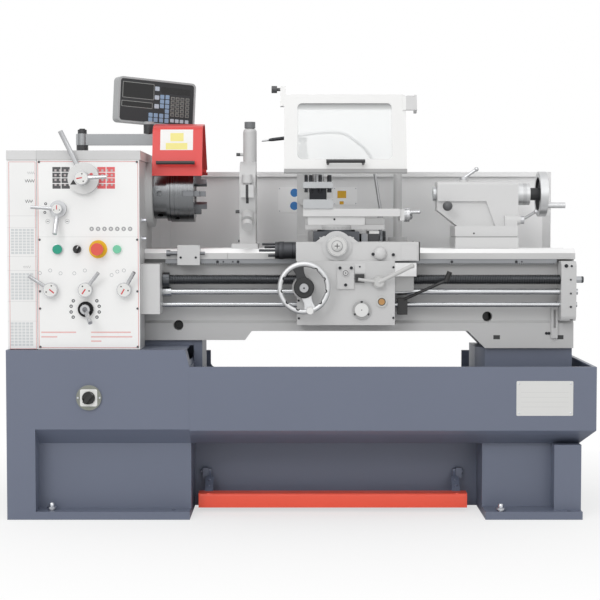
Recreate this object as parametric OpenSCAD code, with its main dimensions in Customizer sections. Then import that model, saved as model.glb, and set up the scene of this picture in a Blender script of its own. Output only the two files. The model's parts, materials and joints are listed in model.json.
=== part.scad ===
// Gap-bed engine lathe with digital readout, as an assembly of separate sub-parts.
// Millimetres. X runs along the spindle to the right, Y to the back, Z up.
// The origin is on the floor, under the spindle axis and half way along the base.

/* [Base] */
// Length of the base
base_l = 2060; // [1900:10:2300]
// Front of the base, measured forward from the spindle axis
base_front = 330; // [300:5:360]
// Back of the base, measured backward from the spindle axis
base_back = 400; // [380:5:440]
// Height of the left cabinet
cabinet_h = 596; // [560:2:620]
// Height of the tray's rim
tray_rim_z = 537; // [500:1:550]
// Height of the tray's band at its lower edge
band_z = 314; // [300:1:340]
// Height of the tray's underside
tray_bottom_z = 259; // [240:1:280]
// Depth of the toe recess
toe_d = 80; // [60:1:100]
// Height of the toe ledge
toe_h = 28; // [20:1:40]
// Sheet thickness of base and tray
sheet_t = 4; // [3:0.5:6]
// Diameter of the anchor holes
anchor_d = 18; // [12:1:24]

/* [Bed and spindle] */
// Height of the spindle axis over the floor
axis_z = 1145; // [1120:1:1160]
// Height of the bed ways
way_z = 946; // [940:1:950]
// Width of the bed over its edges
bed_w = 280; // [250:2:300]
// Right end of the bed
bed_right = 985; // [900:5:1010]
// Diameter of the bore through the spindle
spindle_bore_d = 52; // [40:1:60]
// Diameter of the spindle's shaft
spindle_d = 80; // [70:1:90]
// Diameter of the chuck
chuck_d = 205; // [190:1:220]
// Radius at which the jaws stand at rest
jaw_r = 38; // [30:1:45]

/* [Rods] */
// Diameter of the leadscrew
leadscrew_d = 36; // [30:1:40]
// Diameter of the feed rod
feed_rod_d = 22; // [18:1:25]
// Diameter of the switch rod
switch_rod_d = 18; // [14:1:20]
// Pitch of the rack's teeth
rack_pitch = 7.854; // [6:0.001:10]

/* [Handles] */
// Diameter of the carriage handwheel
handwheel_d = 186; // [150:2:200]
// Diameter of the tailstock handwheel
tail_wheel_d = 165; // [140:1:180]
// Radial clearance of a running fit
run_gap = 0.05; // [0.02:0.01:0.1]
// Clearance of a sliding way
slide_gap = 0.1; // [0.05:0.05:0.3]

/* [Hidden] */
$fn = 64;
half_l = base_l / 2;
front_y = -base_front;
back_y = base_back;
cab_right = -391;
tray_taper = 45;
bed_left = -915;
bed_front = -bed_w / 2;
head_left = -921;
head_right = -564;
head_front = -308;
head_back = 150;
head_top = 1257;
lid_top = 1290;
panel_t = 3;
panel_y = head_front - panel_t;
rod_y = -165;
leadscrew_z = 836;
feed_rod_z = 792.5;
switch_rod_z = 746.6;
gearbox_right = -498;
bracket_left = 927;
bracket_right = 981;
saddle_left = -19;
saddle_right = 421;
saddle_top = 971;
apron_left = -16;
apron_right = 331;
apron_front = -235;
cross_x = 126;
cross_top = 1008;
compound_y = -80;
compound_top = 1060;
top_slide_z = 1090;
post_x = 60;
post_half = 53.5;
steady_x = -195;
split_z = 1152;
steady_hinge_y = 136;
tail_left = 496;
tail_right = 791;
quill_d = 52;
guard_hinge_y = 190;
guard_hinge_z = 1235;
shield_hinge_y = -80;
shield_hinge_z = 1485;
pedal_pivot_y = -62;
pedal_pivot_z = 128;
cover_hinge_x = -921;
cover_hinge_y = 160;
cover_hinge_z = [700, 1130];
hinge_l = 44;
arm_x = -822;
arm_y = 120;
stud_x = -572;
// Controls on the front panel: position across and up
speed_at = [-756, 1193];
direction_at = [-845, 1087];
gear_1_at = [-873, 806];
gear_2_at = [-752, 806];
gear_3_at = [-617, 806];
feed_at = [-752, 738];
start_at = [-849, 947];
switch_at = [-781, 947];
stop_at = [-708, 947];
lamp_at = [-642, 947];
main_at = [-741, 430];
pivot_d = 16;

base_paint = "#6f7687";
cast_paint = "#cfcfcf";
panel_white = "#ececec";
steel = "#b9bcc0";
dark_steel = "#55585c";
black = "#222222";
red_paint = "#d4403c";

// Plain solids between two coordinates on each axis
module block(x0, x1, y0, y1, z0, z1) {
  translate([x0, y0, z0]) cube([x1 - x0, y1 - y0, z1 - z0]);
}

// A round bar along X, Y or Z
module bar_x(x0, x1, y, z, d) {
  translate([x0, y, z]) rotate([0, 90, 0]) cylinder(h = x1 - x0, d = d);
}

module bar_y(y0, y1, x, z, d) {
  translate([x, y0, z]) rotate([-90, 0, 0]) cylinder(h = y1 - y0, d = d);
}

module bar_z(z0, z1, x, y, d) {
  translate([x, y, z0]) cylinder(h = z1 - z0, d = d);
}

// A round bar from point p to point q
module rod(p, q, d) {
  v = q - p;
  len = norm(v);
  translate(p) rotate([0, acos(v[2] / len), atan2(v[1], v[0])]) cylinder(h = len, d = d);
}

// A round bar with a dome at its far end
module knobbed_rod(p, q, d, end_d) {
  rod(p, q, d);
  translate(q) sphere(d = end_d);
}

// A profile in (y, z) drawn along X, or in (x, z) drawn along Y
module along_x(x0, x1) {
  translate([x0, 0, 0]) rotate([90, 0, 90]) linear_extrude(x1 - x0) children();
}

module along_y(y0, y1) {
  translate([0, y1, 0]) rotate([90, 0, 0]) linear_extrude(y1 - y0) children();
}

// Corner points of an arc about c
function arc(c, r, a0, a1, n) = [for (i = [0 : n])
  let (a = a0 + (a1 - a0) * i / n) c + r * [cos(a), sin(a)]];

// Rectangle with rounded corners
function soft_rect(x0, y0, x1, y1, r, n = 4) = concat(
  arc([x1 - r, y1 - r], r, 0, 90, n),
  arc([x0 + r, y1 - r], r, 90, 180, n),
  arc([x0 + r, y0 + r], r, 180, 270, n),
  arc([x1 - r, y0 + r], r, 270, 360, n));

// Base

module anchor_holes(xs, y) {
  for (x = xs)
    bar_z(-1, toe_h + 1, x, y, anchor_d);
}

module left_cabinet() color(base_paint) {
  column_r = -930;
  motor_floor = toe_h;
  difference() {
    along_y(front_y, back_y) polygon([[-half_l, 0], [cab_right, 0], [cab_right, tray_rim_z],
      [cab_right - 14, cabinet_h], [-half_l, cabinet_h]]);
    along_x(column_r, cab_right + 1) polygon([[front_y - 1, toe_h], [front_y + toe_d, toe_h],
      [front_y + toe_d, tray_bottom_z], [front_y, band_z + 4], [front_y - 1, band_z + 4]]);
    block(-half_l + sheet_t, cab_right - sheet_t, front_y + toe_d + sheet_t, back_y - sheet_t,
      motor_floor, cabinet_h - sheet_t);
    // slot for the belts, and louvres in the back
    block(-1012, -936, -45, 165, cabinet_h - 2 * sheet_t, cabinet_h + 1);
    for (z = [180 : 30 : 360])
      block(-850, -600, back_y - 2 * sheet_t, back_y + 1, z, z + 9);
    anchor_holes([-880, -450], front_y + toe_d / 2);
    anchor_holes([-880, -450], back_y - 50);
  }
  // raised seat of the bed
  block(bed_left, cab_right, -100, 150, cabinet_h - 1, 615);
  // round base of the main switch
  bar_y(front_y - 8, front_y + 2, main_at[0], main_at[1], 88);
}

module right_cabinet() color(base_paint) {
  left = 645;
  right = half_l - tray_taper;
  column_l = 890;
  panel_y = front_y + toe_d + 30;
  difference() {
    block(left, right, front_y, back_y, 0, tray_bottom_z);
    // toe recess, set deeper left of the corner column
    block(left - 1, right + 1, front_y - 1, front_y + toe_d - 45, toe_h, tray_bottom_z + 1);
    block(left - 1, column_l, front_y - 1, panel_y, toe_h, tray_bottom_z + 1);
    block(left + sheet_t, right - sheet_t, panel_y + sheet_t, back_y - sheet_t, toe_h,
      tray_bottom_z - sheet_t);
    anchor_holes([700, 940], front_y + 18);
    anchor_holes([700, 940], back_y - 50);
  }
}

module tray_outside(inset, top) {
  intersection() {
    along_x(cab_right, half_l + 1) polygon([[front_y + inset, top], [front_y + inset, band_z + inset / 2],
      [front_y + toe_d + inset, tray_bottom_z + inset], [back_y - inset, tray_bottom_z + inset],
      [back_y - inset, top]]);
    along_y(front_y, back_y) polygon([[cab_right + inset, tray_bottom_z],
      [half_l - tray_taper - inset, tray_bottom_z], [half_l - inset, band_z],
      [half_l - inset, top], [cab_right + inset, top]]);
  }
}

module chip_tray() color(base_paint) {
  lip_w = 14;
  lip_t = 6;
  difference() {
    tray_outside(0, tray_rim_z);
    tray_outside(sheet_t, tray_rim_z + 1);
    // the back is cut low for raking out chips
    along_y(back_y - 2 * lip_w, back_y + 1) polygon(concat([[634, tray_rim_z + 1], [634, 470]],
      arc([-340, 488], 18, 270, 180, 5), [[-358, tray_rim_z + 1]]));
  }
  // folded rim
  block(cab_right, half_l, front_y, front_y + lip_w, tray_rim_z - lip_t, tray_rim_z);
  block(half_l - lip_w, half_l, front_y, back_y, tray_rim_z - lip_t, tray_rim_z);
  // raised seats of the bed
  translate([0, 0, tray_bottom_z + 1]) linear_extrude(586 - tray_bottom_z - 1)
    polygon([[667, -100], [983, -100], [983, 150], [637, 150], [637, -40]]);
  block(cab_right, -360, -100, 150, tray_bottom_z + 1, 615);
  // panel between the cabinets, with the pedal's lugs
  block(cab_right, 645, -47, -47 + sheet_t, 0, tray_bottom_z + 1);
  difference() {
    for (x = [-362, 566])
      block(x, x + 22, -74, -46, 104, 142);
    bar_x(-400, 600, pedal_pivot_y, pedal_pivot_z, 12 + 2 * run_gap);
  }
}

module brake_pedal() color(red_paint) {
  difference() {
    union() {
      along_x(-370, 596) polygon([[-184, 16], [-184, 58], [-178, 66], [-138, 70], [-138, 66], [-172, 62],
        [-180, 54], [-180, 16]]);
      block(-370, -366, -184, -138, 16, 68);
      block(592, 596, -184, -138, 16, 68);
    }
    block(-366, 592, -172, -137, 20, 61);
  }
  for (x = [-339.5, 555]) {
    along_x(x, x + 10) polygon([[-150, 60], [-140, 60], [-53, 118], [-53, 138], [-70, 138], [-74, 120]]);
    block(x, x + 10, -180, -140, 56, 68);
  }
  bar_x(-370, -335, pedal_pivot_y, pedal_pivot_z, 12);
  bar_x(560, 594, pedal_pivot_y, pedal_pivot_z, 12);
}

// Bed

shear = [[bed_front, way_z - 37], [bed_front, way_z - 16], [bed_front + 16, way_z], [bed_front + 26, way_z],
  [bed_front + 37, way_z - 12], [-56, way_z - 12], [-56, 900], [-72, 884], [-72, 690], [-56, 672], [-56, 580],
  [-118, 580], [-118, 676], [-106, 686], [-106, way_z - 49], [-118, way_z - 37]];

module bed() color(cast_paint) {
  rib_step = 175;
  difference() {
    union() {
      intersection() {
        union() {
          along_x(bed_left, bed_right) polygon(shear);
          mirror([0, 1, 0]) along_x(bed_left, bed_right) polygon(shear);
          for (x = [bed_left : rib_step : bed_right - 20])
            block(x, x + 24, -73, 73, 650, 860);
          block(bed_right - 24, bed_right, -73, 73, 580, 860);
        }
        along_y(-200, 200) polygon([[bed_left, 615], [-364, 615], [-338, 648], [603, 648], [665, 586],
          [bed_right, 586], [bed_right, 1000], [bed_left, 1000]]);
      }
      // bracket that carries the right ends of the rods
      along_x(bracket_left, bracket_right) polygon([[-192, 706], [-178, 689], [-105, 689], [-105, 902],
        [-178, 902], [-192, 888]]);
      // slotted strap of the switch gear
      block(903, 926.5, -128, -105, 622, 752);
    }
    bar_x(bracket_left - 1, bracket_right + 1, rod_y, leadscrew_z, 24 + 2 * run_gap);
    bar_x(bracket_left - 1, bracket_right + 1, rod_y, feed_rod_z, feed_rod_d + 2 * run_gap);
    bar_x(bracket_left - 1, bracket_right + 1, rod_y, switch_rod_z, switch_rod_d + 2 * run_gap);
    bar_y(-120, -60, -445, 669, 36);
    bar_y(-120, -60, 674, 700, 36);
    block(911, 918.5, -130, -114, 660, 725);
    // joint of the gap piece
    block(-266, -264.5, bed_front - 1, bed_front + 4, way_z - 38, way_z + 1);
  }
}

module feed_rack() color(dark_steel) {
  teeth = floor((920 + 490) / rack_pitch);
  tip_z = way_z - 57;
  root_z = tip_z + 5;
  outline = concat([[-490, way_z - 37], [-490, root_z]],
    [for (i = [0 : teeth - 1]) for (k = [[0.1, root_z], [0.3, tip_z], [0.55, tip_z], [0.75, root_z]])
      [-490 + rack_pitch * (i + k[0]), k[1]]],
    [[920, root_z], [920, way_z - 37]]);
  along_y(bed_front + 6, bed_front + 22) polygon(outline);
}

module stop_block() color(cast_paint) {
  difference() {
    block(-444, -364, -168, -116, 888, 959);
    block(-445, -363, bed_front, -115, 887, way_z);
  }
  bar_x(-472, -443, -154, 930, 14);
  bar_x(-484, -470, -154, 930, 22);
  bar_x(-366, -346, -154, 930, 12);
}

// Headstock

module lever_bores(y0, y1) {
  bar_y(y0, y1, speed_at[0], speed_at[1], 36 + 2 * run_gap);
  for (at = [direction_at, gear_1_at, gear_2_at, gear_3_at, feed_at])
    bar_y(y0, y1, at[0], at[1], (at == direction_at ? 28 : pivot_d) + 2 * run_gap);
  for (at = [start_at, switch_at, stop_at])
    bar_y(y0, y1, at[0], at[1], 12 + 2 * run_gap);
}

module headstock() color(cast_paint) {
  difference() {
    union() {
      block(head_left, head_right, head_front, head_back, way_z, head_top);
      block(head_left, head_right, head_front, -145, cabinet_h, way_z);
      // lid
      block(head_left, head_right + 4, panel_y - 2, head_back + 4, head_top, lid_top);
      // bearing boss
      bar_x(head_right - 1, -539, 0, axis_z, 240);
      // feed gearbox end
      block(head_right - 1, gearbox_right, -270, -145, 718, 894);
      // lug of the chuck guard's shaft
      block(-604, head_right, head_back - 1, guard_hinge_y + 24, 1208, 1256);
      // hinge pins of the end cover, each between two lugs
      for (z = cover_hinge_z) {
        bar_z(z - 8, z + hinge_l + 8, cover_hinge_x, cover_hinge_y, 6);
        for (lug_z = [z - 9, z + hinge_l + 1]) {
          bar_z(lug_z, lug_z + 8, cover_hinge_x, cover_hinge_y, 12);
          block(cover_hinge_x, cover_hinge_x + 20, head_back - 1, cover_hinge_y + 6, lug_z, lug_z + 8);
        }
      }
      // pivot of the readout's arm
      bar_z(lid_top - 1, 1329.8, arm_x, arm_y, 44);
      bar_z(lid_top, 1392, arm_x, arm_y, 22);
      bar_z(1374, 1388, arm_x, arm_y, 34);
    }
    bar_x(head_left - 1, -538, 0, axis_z, spindle_d + 2 * run_gap);
    lever_bores(head_front - 1, head_front + 40);
    bar_x(-545, gearbox_right + 1, rod_y, leadscrew_z, 24 + 2 * run_gap);
    bar_x(-545, gearbox_right + 1, rod_y, feed_rod_z, 16 + 2 * run_gap);
    bar_x(-545, gearbox_right + 1, rod_y, switch_rod_z, switch_rod_d + 2 * run_gap);
    bar_x(-605, head_right + 1, guard_hinge_y, guard_hinge_z, 20 + 2 * run_gap);
  }
}

module front_panel() color(panel_white) {
  screw_d = 8;
  difference() {
    block(head_left + 1, head_right, panel_y, head_front, 598, head_top);
    lever_bores(panel_y - 1, head_front + 1);
  }
  // pilot lamp and the collar of the stop button
  bar_y(panel_y - 9, panel_y + 1, lamp_at[0], lamp_at[1], 29);
  difference() {
    bar_y(panel_y - 4, panel_y + 1, stop_at[0], stop_at[1], 63);
    bar_y(panel_y - 5, panel_y + 2, stop_at[0], stop_at[1], 13);
  }
  for (x = [head_left + 9, head_right - 8], z = [606, 740, 800, 980, 1250])
    bar_y(panel_y - 2, panel_y + 1, x, z, screw_d);
}

module end_cover() color(cast_paint) {
  left = -1025;
  right = head_left - 0.5;
  front = panel_y;
  back = head_back + 3;
  bar_stock_hole_d = 130;
  difference() {
    block(left, right, front, back, 598, lid_top);
    block(left + 3, right + 1, front + 3, back - 3, 597, lid_top - 3);
    bar_x(left - 1, left + 4, 0, axis_z, bar_stock_hole_d);
  }
  block(left - 1, right, front - 2, front + 1, head_top, lid_top);
  // hinge barrels on the back wall
  for (z = cover_hinge_z)
    difference() {
      union() {
        bar_z(z, z + hinge_l, cover_hinge_x, cover_hinge_y, 12);
        block(cover_hinge_x - 24, cover_hinge_x, back - 1, cover_hinge_y, z, z + hinge_l);
      }
      bar_z(z - 1, z + hinge_l + 1, cover_hinge_x, cover_hinge_y, 6 + 2 * run_gap);
    }
}

module electrical_box() color(cast_paint) {
  left = -900;
  right = -580;
  difference() {
    block(left, right, head_back, 320, 720, 1190);
    // door seam
    block(left + 14, left + 16, 316, 321, 734, 1176);
    block(right - 16, right - 14, 316, 321, 734, 1176);
    block(left + 14, right - 14, 316, 321, 1174, 1176);
    block(left + 14, right - 14, 316, 321, 734, 736);
  }
  bar_y(319, 334, right - 40, 960, 24);
}

// Belt round two pulleys, in (y, z)
function belt(c0, r0, c1, r1) =
  let (v = c1 - c0, a = atan2(v[1], v[0]), b = acos((r0 - r1) / norm(v)))
  concat(arc(c1, r1, a - b, a + b, 20), arc(c0, r0, a + b, a + 360 - b, 20));

function gear_outline(n, m, twist) = [for (i = [0 : n - 1])
  for (k = [[0.0, -1.2], [0.14, 1], [0.36, 1], [0.5, -1.2]])
    let (a = twist + 360 * (i + k[0]) / n) (n / 2 + k[1]) * m * [cos(a), sin(a)]];

module change_gear(x, y, z, n, twist) {
  along_x(x, x + 22) translate([y, z]) polygon(gear_outline(n, 3, twist));
}

module motor_drive() color(dark_steel) {
  motor_at = [80, 262];
  input_at = [30, 1005];
  motor_r = 62;
  input_r = 92;
  // motor on its foot
  bar_x(-880, -570, motor_at[0], motor_at[1], 220);
  bar_x(-900, -879, motor_at[0], motor_at[1], 190);
  block(-860, -620, motor_at[0] - 100, motor_at[0] + 100, toe_h, motor_at[1] - 60);
  bar_x(-1004, -899, motor_at[0], motor_at[1], 42);
  bar_x(-1004, -944, motor_at[0], motor_at[1], 2 * motor_r - 4);
  // pulley on the headstock's input shaft
  bar_x(-1004, -944, input_at[0], input_at[1], 2 * input_r - 4);
  bar_x(-1004, head_left, input_at[0], input_at[1], 42);
  for (x = [-1000, -980, -960])
    along_x(x, x + 13) difference() {
      polygon(belt(motor_at, motor_r + 6, input_at, input_r + 6));
      polygon(belt(motor_at, motor_r - 4, input_at, input_r - 4));
    }
  // change gears from the spindle stud down to the feed gearbox
  stud_at = [-125, 1085];
  idler_at = [-140, 958.4];
  feed_in_at = [-200, 863.2];
  change_gear(-960, stud_at[0], stud_at[1], 40, 0);
  change_gear(-960, idler_at[0], idler_at[1], 45, 4);
  change_gear(-960, feed_in_at[0], feed_in_at[1], 30, 3);
  for (at = [stud_at, idler_at, feed_in_at])
    bar_x(-970, head_left, at[0], at[1], 30);
}

// Spindle and chuck

module spindle() color(steel) {
  cam_holes = 6;
  difference() {
    union() {
      bar_x(-1008, -537, 0, axis_z, spindle_d);
      bar_x(-538.5, -490, 0, axis_z, 181);
    }
    bar_x(-1009, -489, 0, axis_z, spindle_bore_d);
    for (i = [0 : cam_holes - 1])
      translate([-514, 0, axis_z]) rotate([30 + 360 * i / cam_holes, 0, 0]) translate([0, 0, 62])
        cylinder(h = 60, d = 21);
  }
}

module jaw_place(i) {
  translate([0, 0, axis_z]) rotate([90 + 120 * i, 0, 0]) children();
}

module chuck_body() color(steel) {
  slot_w = 20 + 2 * slide_gap;
  difference() {
    union() {
      bar_x(-490, -476, 0, axis_z, 198);
      bar_x(-476, -391, 0, axis_z, chuck_d);
    }
    bar_x(-491, -390, 0, axis_z, 62);
    for (i = [0 : 2]) {
      jaw_place(i) block(-430 - slide_gap, -390, -slot_w / 2, slot_w / 2, 8, 120);
      jaw_place(i + 0.5) translate([-452, 0, 84]) cylinder(h = 40, d = 17);
    }
    for (i = [0 : 2])
      jaw_place(i + 0.5) bar_x(-412, -390, 0, 78, 15);
  }
}

module chuck_jaw(i) color(steel) {
  step = 21;
  jaw_place(i) difference() {
    union() {
      block(-430, -391, -10, 10, jaw_r, 98);
      block(-391.5, -391 + step, -10, 10, jaw_r, jaw_r + 42);
      block(-391 + step - 0.5, -391 + 2 * step, -10, 10, jaw_r, jaw_r + 20);
    }
    for (r = [jaw_r + 48 : 8 : 94])
      block(-392, -388, -11, 11, r, r + 3);
  }
}

module chuck_jaw_1() { chuck_jaw(0); }
module chuck_jaw_2() { chuck_jaw(1); }
module chuck_jaw_3() { chuck_jaw(2); }

function guard_line(t) = concat([[-132 + t, 1208], [-126 + t, 1262], [-104 + t, 1330]],
  arc([-52, 1341], 52 - t, 150, 95, 4), [[10, 1402 - t]], arc([35, 1372], 31 - t, 80, 40, 3),
  [[204 - t, 1222 - t / 3]]);

module chuck_guard() color(red_paint) {
  sheet = 3;
  left = -537;
  right = -357;
  outer = guard_line(0);
  inner = guard_line(sheet);
  n = len(inner);
  difference() {
    along_x(left, right) polygon(concat(outer, [for (i = [n - 1 : -1 : 0]) inner[i]]));
    bar_x(left - 1, right + 1, guard_hinge_y, guard_hinge_z, 15);
  }
  bar_x(-604, right - 4, guard_hinge_y, guard_hinge_z, 20);
  // grab handle
  for (x = [-514, -388])
    rod([x, -124, 1256], [x, -158, 1254], 12);
  bar_x(-520, -382, -154, 1254, 13);
}

// Digital readout

module dro_arm() color(steel) {
  difference() {
    union() {
      block(arm_x - 22, stud_x + 18, arm_y - 12, arm_y + 12, 1330, 1372);
      bar_z(1330, 1373.5, arm_x, arm_y, 38);
      bar_z(1371, 1396, stud_x, arm_y, 22);
    }
    bar_z(1329, 1374, arm_x, arm_y, 22 + 2 * run_gap);
  }
}

module dro_display() color(cast_paint) {
  w = 318;
  h = 170;
  d = 50;
  translate([-556, 186, 1494]) rotate([0, 3, 30]) difference() {
    translate([0, d / 2, 0]) rotate([90, 0, 0]) linear_extrude(d)
      polygon(soft_rect(-w / 2, -h / 2, w / 2, h / 2, 16));
    // sunk front
    translate([0, -d / 2 + 3, 0]) rotate([90, 0, 0]) linear_extrude(d)
      polygon(soft_rect(-w / 2 + 7, -h / 2 + 7, w / 2 - 7, h / 2 - 7, 11));
  }
  // swivel foot under the housing
  difference() {
    union() {
      bar_z(1374, 1418, stud_x, arm_y, 40);
      block(stud_x - 16, stud_x + 16, arm_y, 205, 1398, 1412);
      bar_z(1398, 1424, stud_x, 178, 30);
    }
    bar_z(1370, 1397, stud_x, arm_y, 22 + 2 * run_gap);
  }
}

// Levers on the headstock

module hub(at, d, back, front) {
  bar_y(front, back, at[0], at[1], d);
}

module speed_lever() color(steel) {
  difference() {
    union() {
      hub(speed_at, 109, panel_y - 0.5, panel_y - 20);
      hub(speed_at, 36, head_front + 30, panel_y - 2);
      rod([speed_at[0] - 16, panel_y - 11, speed_at[1] + 34], [-831, -354, 1355], 17);
    }
    bar_y(-400, head_front + 31, speed_at[0], speed_at[1], 20 + 2 * run_gap);
  }
}

module range_lever() color(steel) {
  hub(speed_at, 20, head_front + 28, panel_y - 40);
  hub(speed_at, 47, panel_y - 21, panel_y - 72);
  rod([speed_at[0], -372, speed_at[1]], [-668, -382, speed_at[1] + 3], 14);
}

module direction_lever() color(dark_steel) {
  difference() {
    union() {
      hub(direction_at, 58, panel_y - 0.5, panel_y - 20);
      hub(direction_at, 28, head_front + 30, panel_y - 2);
      rod([direction_at[0] - 3, panel_y - 10, direction_at[1] - 18], [-852, -358, 1000], 16);
    }
    bar_y(-400, head_front + 31, direction_at[0], direction_at[1], pivot_d + 2 * run_gap);
  }
}

module thread_lever() color(steel) {
  hub(direction_at, pivot_d, head_front + 28, panel_y - 30);
  hub(direction_at, 36, panel_y - 21, panel_y - 44);
  rod([direction_at[0], panel_y - 33, direction_at[1]], [-934, -362, 1093], 12);
}

module gear_lever(at, tip) {
  hub(at, 50, panel_y - 0.5, panel_y - 26);
  hub(at, pivot_d, head_front + 30, panel_y - 2);
  rod([at[0], panel_y - 14, at[1]], tip, 13);
}

module gear_lever_1() color(steel) { gear_lever(gear_1_at, [-944, -352, 855]); }
module gear_lever_2() color(steel) { gear_lever(gear_2_at, [-703, -352, 866]); }
module gear_lever_3() color(steel) { gear_lever(gear_3_at, [-579, -352, 868]); }

module feed_selector() color(dark_steel) {
  hub(feed_at, 54, panel_y - 0.5, panel_y - 14);
  hub(feed_at, 34, panel_y - 12, panel_y - 30);
  hub(feed_at, pivot_d, head_front + 30, panel_y - 2);
  rod([feed_at[0], panel_y - 20, feed_at[1]], [-728, -380, 694], 16);
}

module start_button() color("#2aa58a") {
  hub(start_at, 33, panel_y - 6, panel_y - 14);
  hub(start_at, 12, head_front + 20, panel_y - 9);
}

module coolant_switch() color(black) {
  hub(switch_at, 28, panel_y - 0.5, panel_y - 10);
  hub(switch_at, 12, head_front + 20, panel_y - 5);
  translate([switch_at[0], panel_y - 16, switch_at[1]]) rotate([0, 30, 0]) cube([8, 14, 27], center = true);
}

module emergency_stop() color(red_paint) {
  hub(stop_at, 12, head_front + 20, panel_y - 12);
  hub(stop_at, 30, panel_y - 11, panel_y - 25);
  hub(stop_at, 43, panel_y - 24, panel_y - 38);
}

module main_switch() color(black) {
  hub(main_at, 44, front_y - 8.5, front_y - 18);
  translate([main_at[0], front_y - 26, main_at[1]]) rotate([0, 40, 0]) cube([13, 20, 42], center = true);
}

// Rods

module leadscrew() color(dark_steel) {
  bar_x(-540, gearbox_right, rod_y, leadscrew_z, 24);
  bar_x(gearbox_right + 0.5, -472, rod_y, leadscrew_z, 52);
  bar_x(-473, bracket_left - 0.5, rod_y, leadscrew_z, leadscrew_d);
  bar_x(gearbox_right - 1, gearbox_right + 2, rod_y, leadscrew_z, 24);
  bar_x(bracket_left - 2, 1010, rod_y, leadscrew_z, 24);
}

module feed_rod() color(steel) {
  bar_x(-540, gearbox_right + 2, rod_y, feed_rod_z, 16);
  bar_x(gearbox_right + 0.5, -466, rod_y, feed_rod_z, 34);
  bar_x(-467, 990, rod_y, feed_rod_z, feed_rod_d);
}

module switch_rod() color(steel) {
  bar_x(-540, 988, rod_y, switch_rod_z, switch_rod_d);
}

// Carriage

module cross_way(gap) {
  polygon([[cross_x - 52 - gap, saddle_top - 1], [cross_x + 52 + gap, saddle_top - 1],
    [cross_x + 63 + gap, saddle_top + 17 + gap], [cross_x - 63 - gap, saddle_top + 17 + gap]]);
}

module saddle() color(cast_paint) {
  under = way_z + slide_gap;
  wing_y = -95;
  rear_y = 200;
  difference() {
    union() {
      block(saddle_left, saddle_right, -210, wing_y, under, saddle_top);
      block(saddle_left, saddle_right, -210, bed_front - 1, 904, saddle_top);
      block(26, 252, -210, rear_y, under, saddle_top);
      block(saddle_left, saddle_right, 95, rear_y, under, saddle_top);
      along_y(-180, 190) cross_way(0);
      // collar of the cross-feed screw
      bar_y(-216, -186, cross_x, 957, 106);
      along_y(-212, -190) polygon([[48, saddle_top - 2], [204, saddle_top - 2], [174, 992], [78, 992]]);
      // way clamp cover and its bolts
      bar_y(-222, -205, 279, 930, 42);
      block(354, 411, -213, -205, 907, 960);
      for (p = [[254, 928], [326, 926]])
        bar_y(-216, -205, p[0], p[1], 11);
      // readout's reader and scale beside the cross slide
      block(216, 238, -130, 150, saddle_top - 1, 1000);
      block(237, 280, -116, -52, saddle_top - 1, 1010);
      // post of the chip shield
      bar_z(saddle_top - 1, shield_hinge_z + 10, 364, 150, 32);
      block(384, 404, shield_hinge_y, 158, shield_hinge_z - 14, shield_hinge_z + 14);
      bar_x(384, 404, shield_hinge_y, shield_hinge_z, 28);
      block(350, 404, 134, 166, shield_hinge_z - 14, shield_hinge_z + 14);
      bar_z(saddle_top - 1, 985, 364, 150, 70);
    }
    bar_x(383, 405, shield_hinge_y, shield_hinge_z, 14 + 2 * run_gap);
    bar_x(saddle_left - 1, 12, -180, 941, 16 + 2 * run_gap);
    bar_y(-217, -185, cross_x, 957, 24 + 2 * run_gap);
  }
}

module apron() color(cast_paint) {
  back = bed_front - 2;
  hole_gap = 0.8;
  difference() {
    union() {
      block(apron_left, apron_right, apron_front, back, 677, 904);
      // boxes at the right: thread dial housing over its lower case
      block(apron_right - 1, 407, apron_front, -187, 849, 897);
      block(apron_right - 1, 398, apron_front + 6, -187, 797, 850);
      // plate with three bolts
      block(126, 186, apron_front - 8, apron_front + 1, 805, 890);
      for (p = [[136, 880], [176, 880], [156, 820]])
        bar_y(apron_front - 12, apron_front - 7, p[0], p[1], 11);
      bar_y(apron_front - 14, apron_front - 7, 156, 862, 24);
      // round bearing cover, sight glass and interlock
      bar_y(apron_front - 10, apron_front + 1, 213, 731, 64);
      bar_y(apron_front - 14, apron_front - 9, 213, 731, 48);
      bar_y(apron_front - 6, apron_front + 1, 284, 760, 38);
      block(190, 222, apron_front - 10, apron_front + 1, 828, 858);
      // front bearing of the handwheel
      bar_y(apron_front - 4, apron_front + 1, 9, 811, 84);
    }
    bar_x(apron_left - 1, 410, rod_y, leadscrew_z, leadscrew_d + hole_gap);
    bar_x(apron_left - 1, 410, rod_y, feed_rod_z, feed_rod_d + hole_gap);
    bar_x(apron_left - 1, 410, rod_y, switch_rod_z, switch_rod_d + hole_gap);
    bar_y(apron_front - 5, -195, 9, 811, 25 + 2 * run_gap);
    bar_y(apron_front - 15, -205, 274, 830, pivot_d + 2 * run_gap);
  }
}

module carriage_handwheel() color(steel) {
  rim_r = handwheel_d / 2 - 9.5;
  wheel_y = -288;
  translate([9, wheel_y, 811]) rotate([90, 0, 0]) {
    rotate_extrude() translate([rim_r, 0]) circle(d = 19);
    for (a = [80, 200, 320])
      rotate([0, 0, a]) translate([20, -22, -5]) cube([rim_r - 22, 44, 10]);
    translate([0, 0, -14]) cylinder(h = 30, d = 50);
  }
  // graduated collar, shaft, cap and grip
  bar_y(-272, apron_front - 4.5, 9, 811, 72);
  bar_y(-280, -200, 9, 811, 25);
  bar_y(-312, -300, 9, 811, 32);
  rod([30, -290, 736], [30, -398, 736], 22);
}

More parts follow.
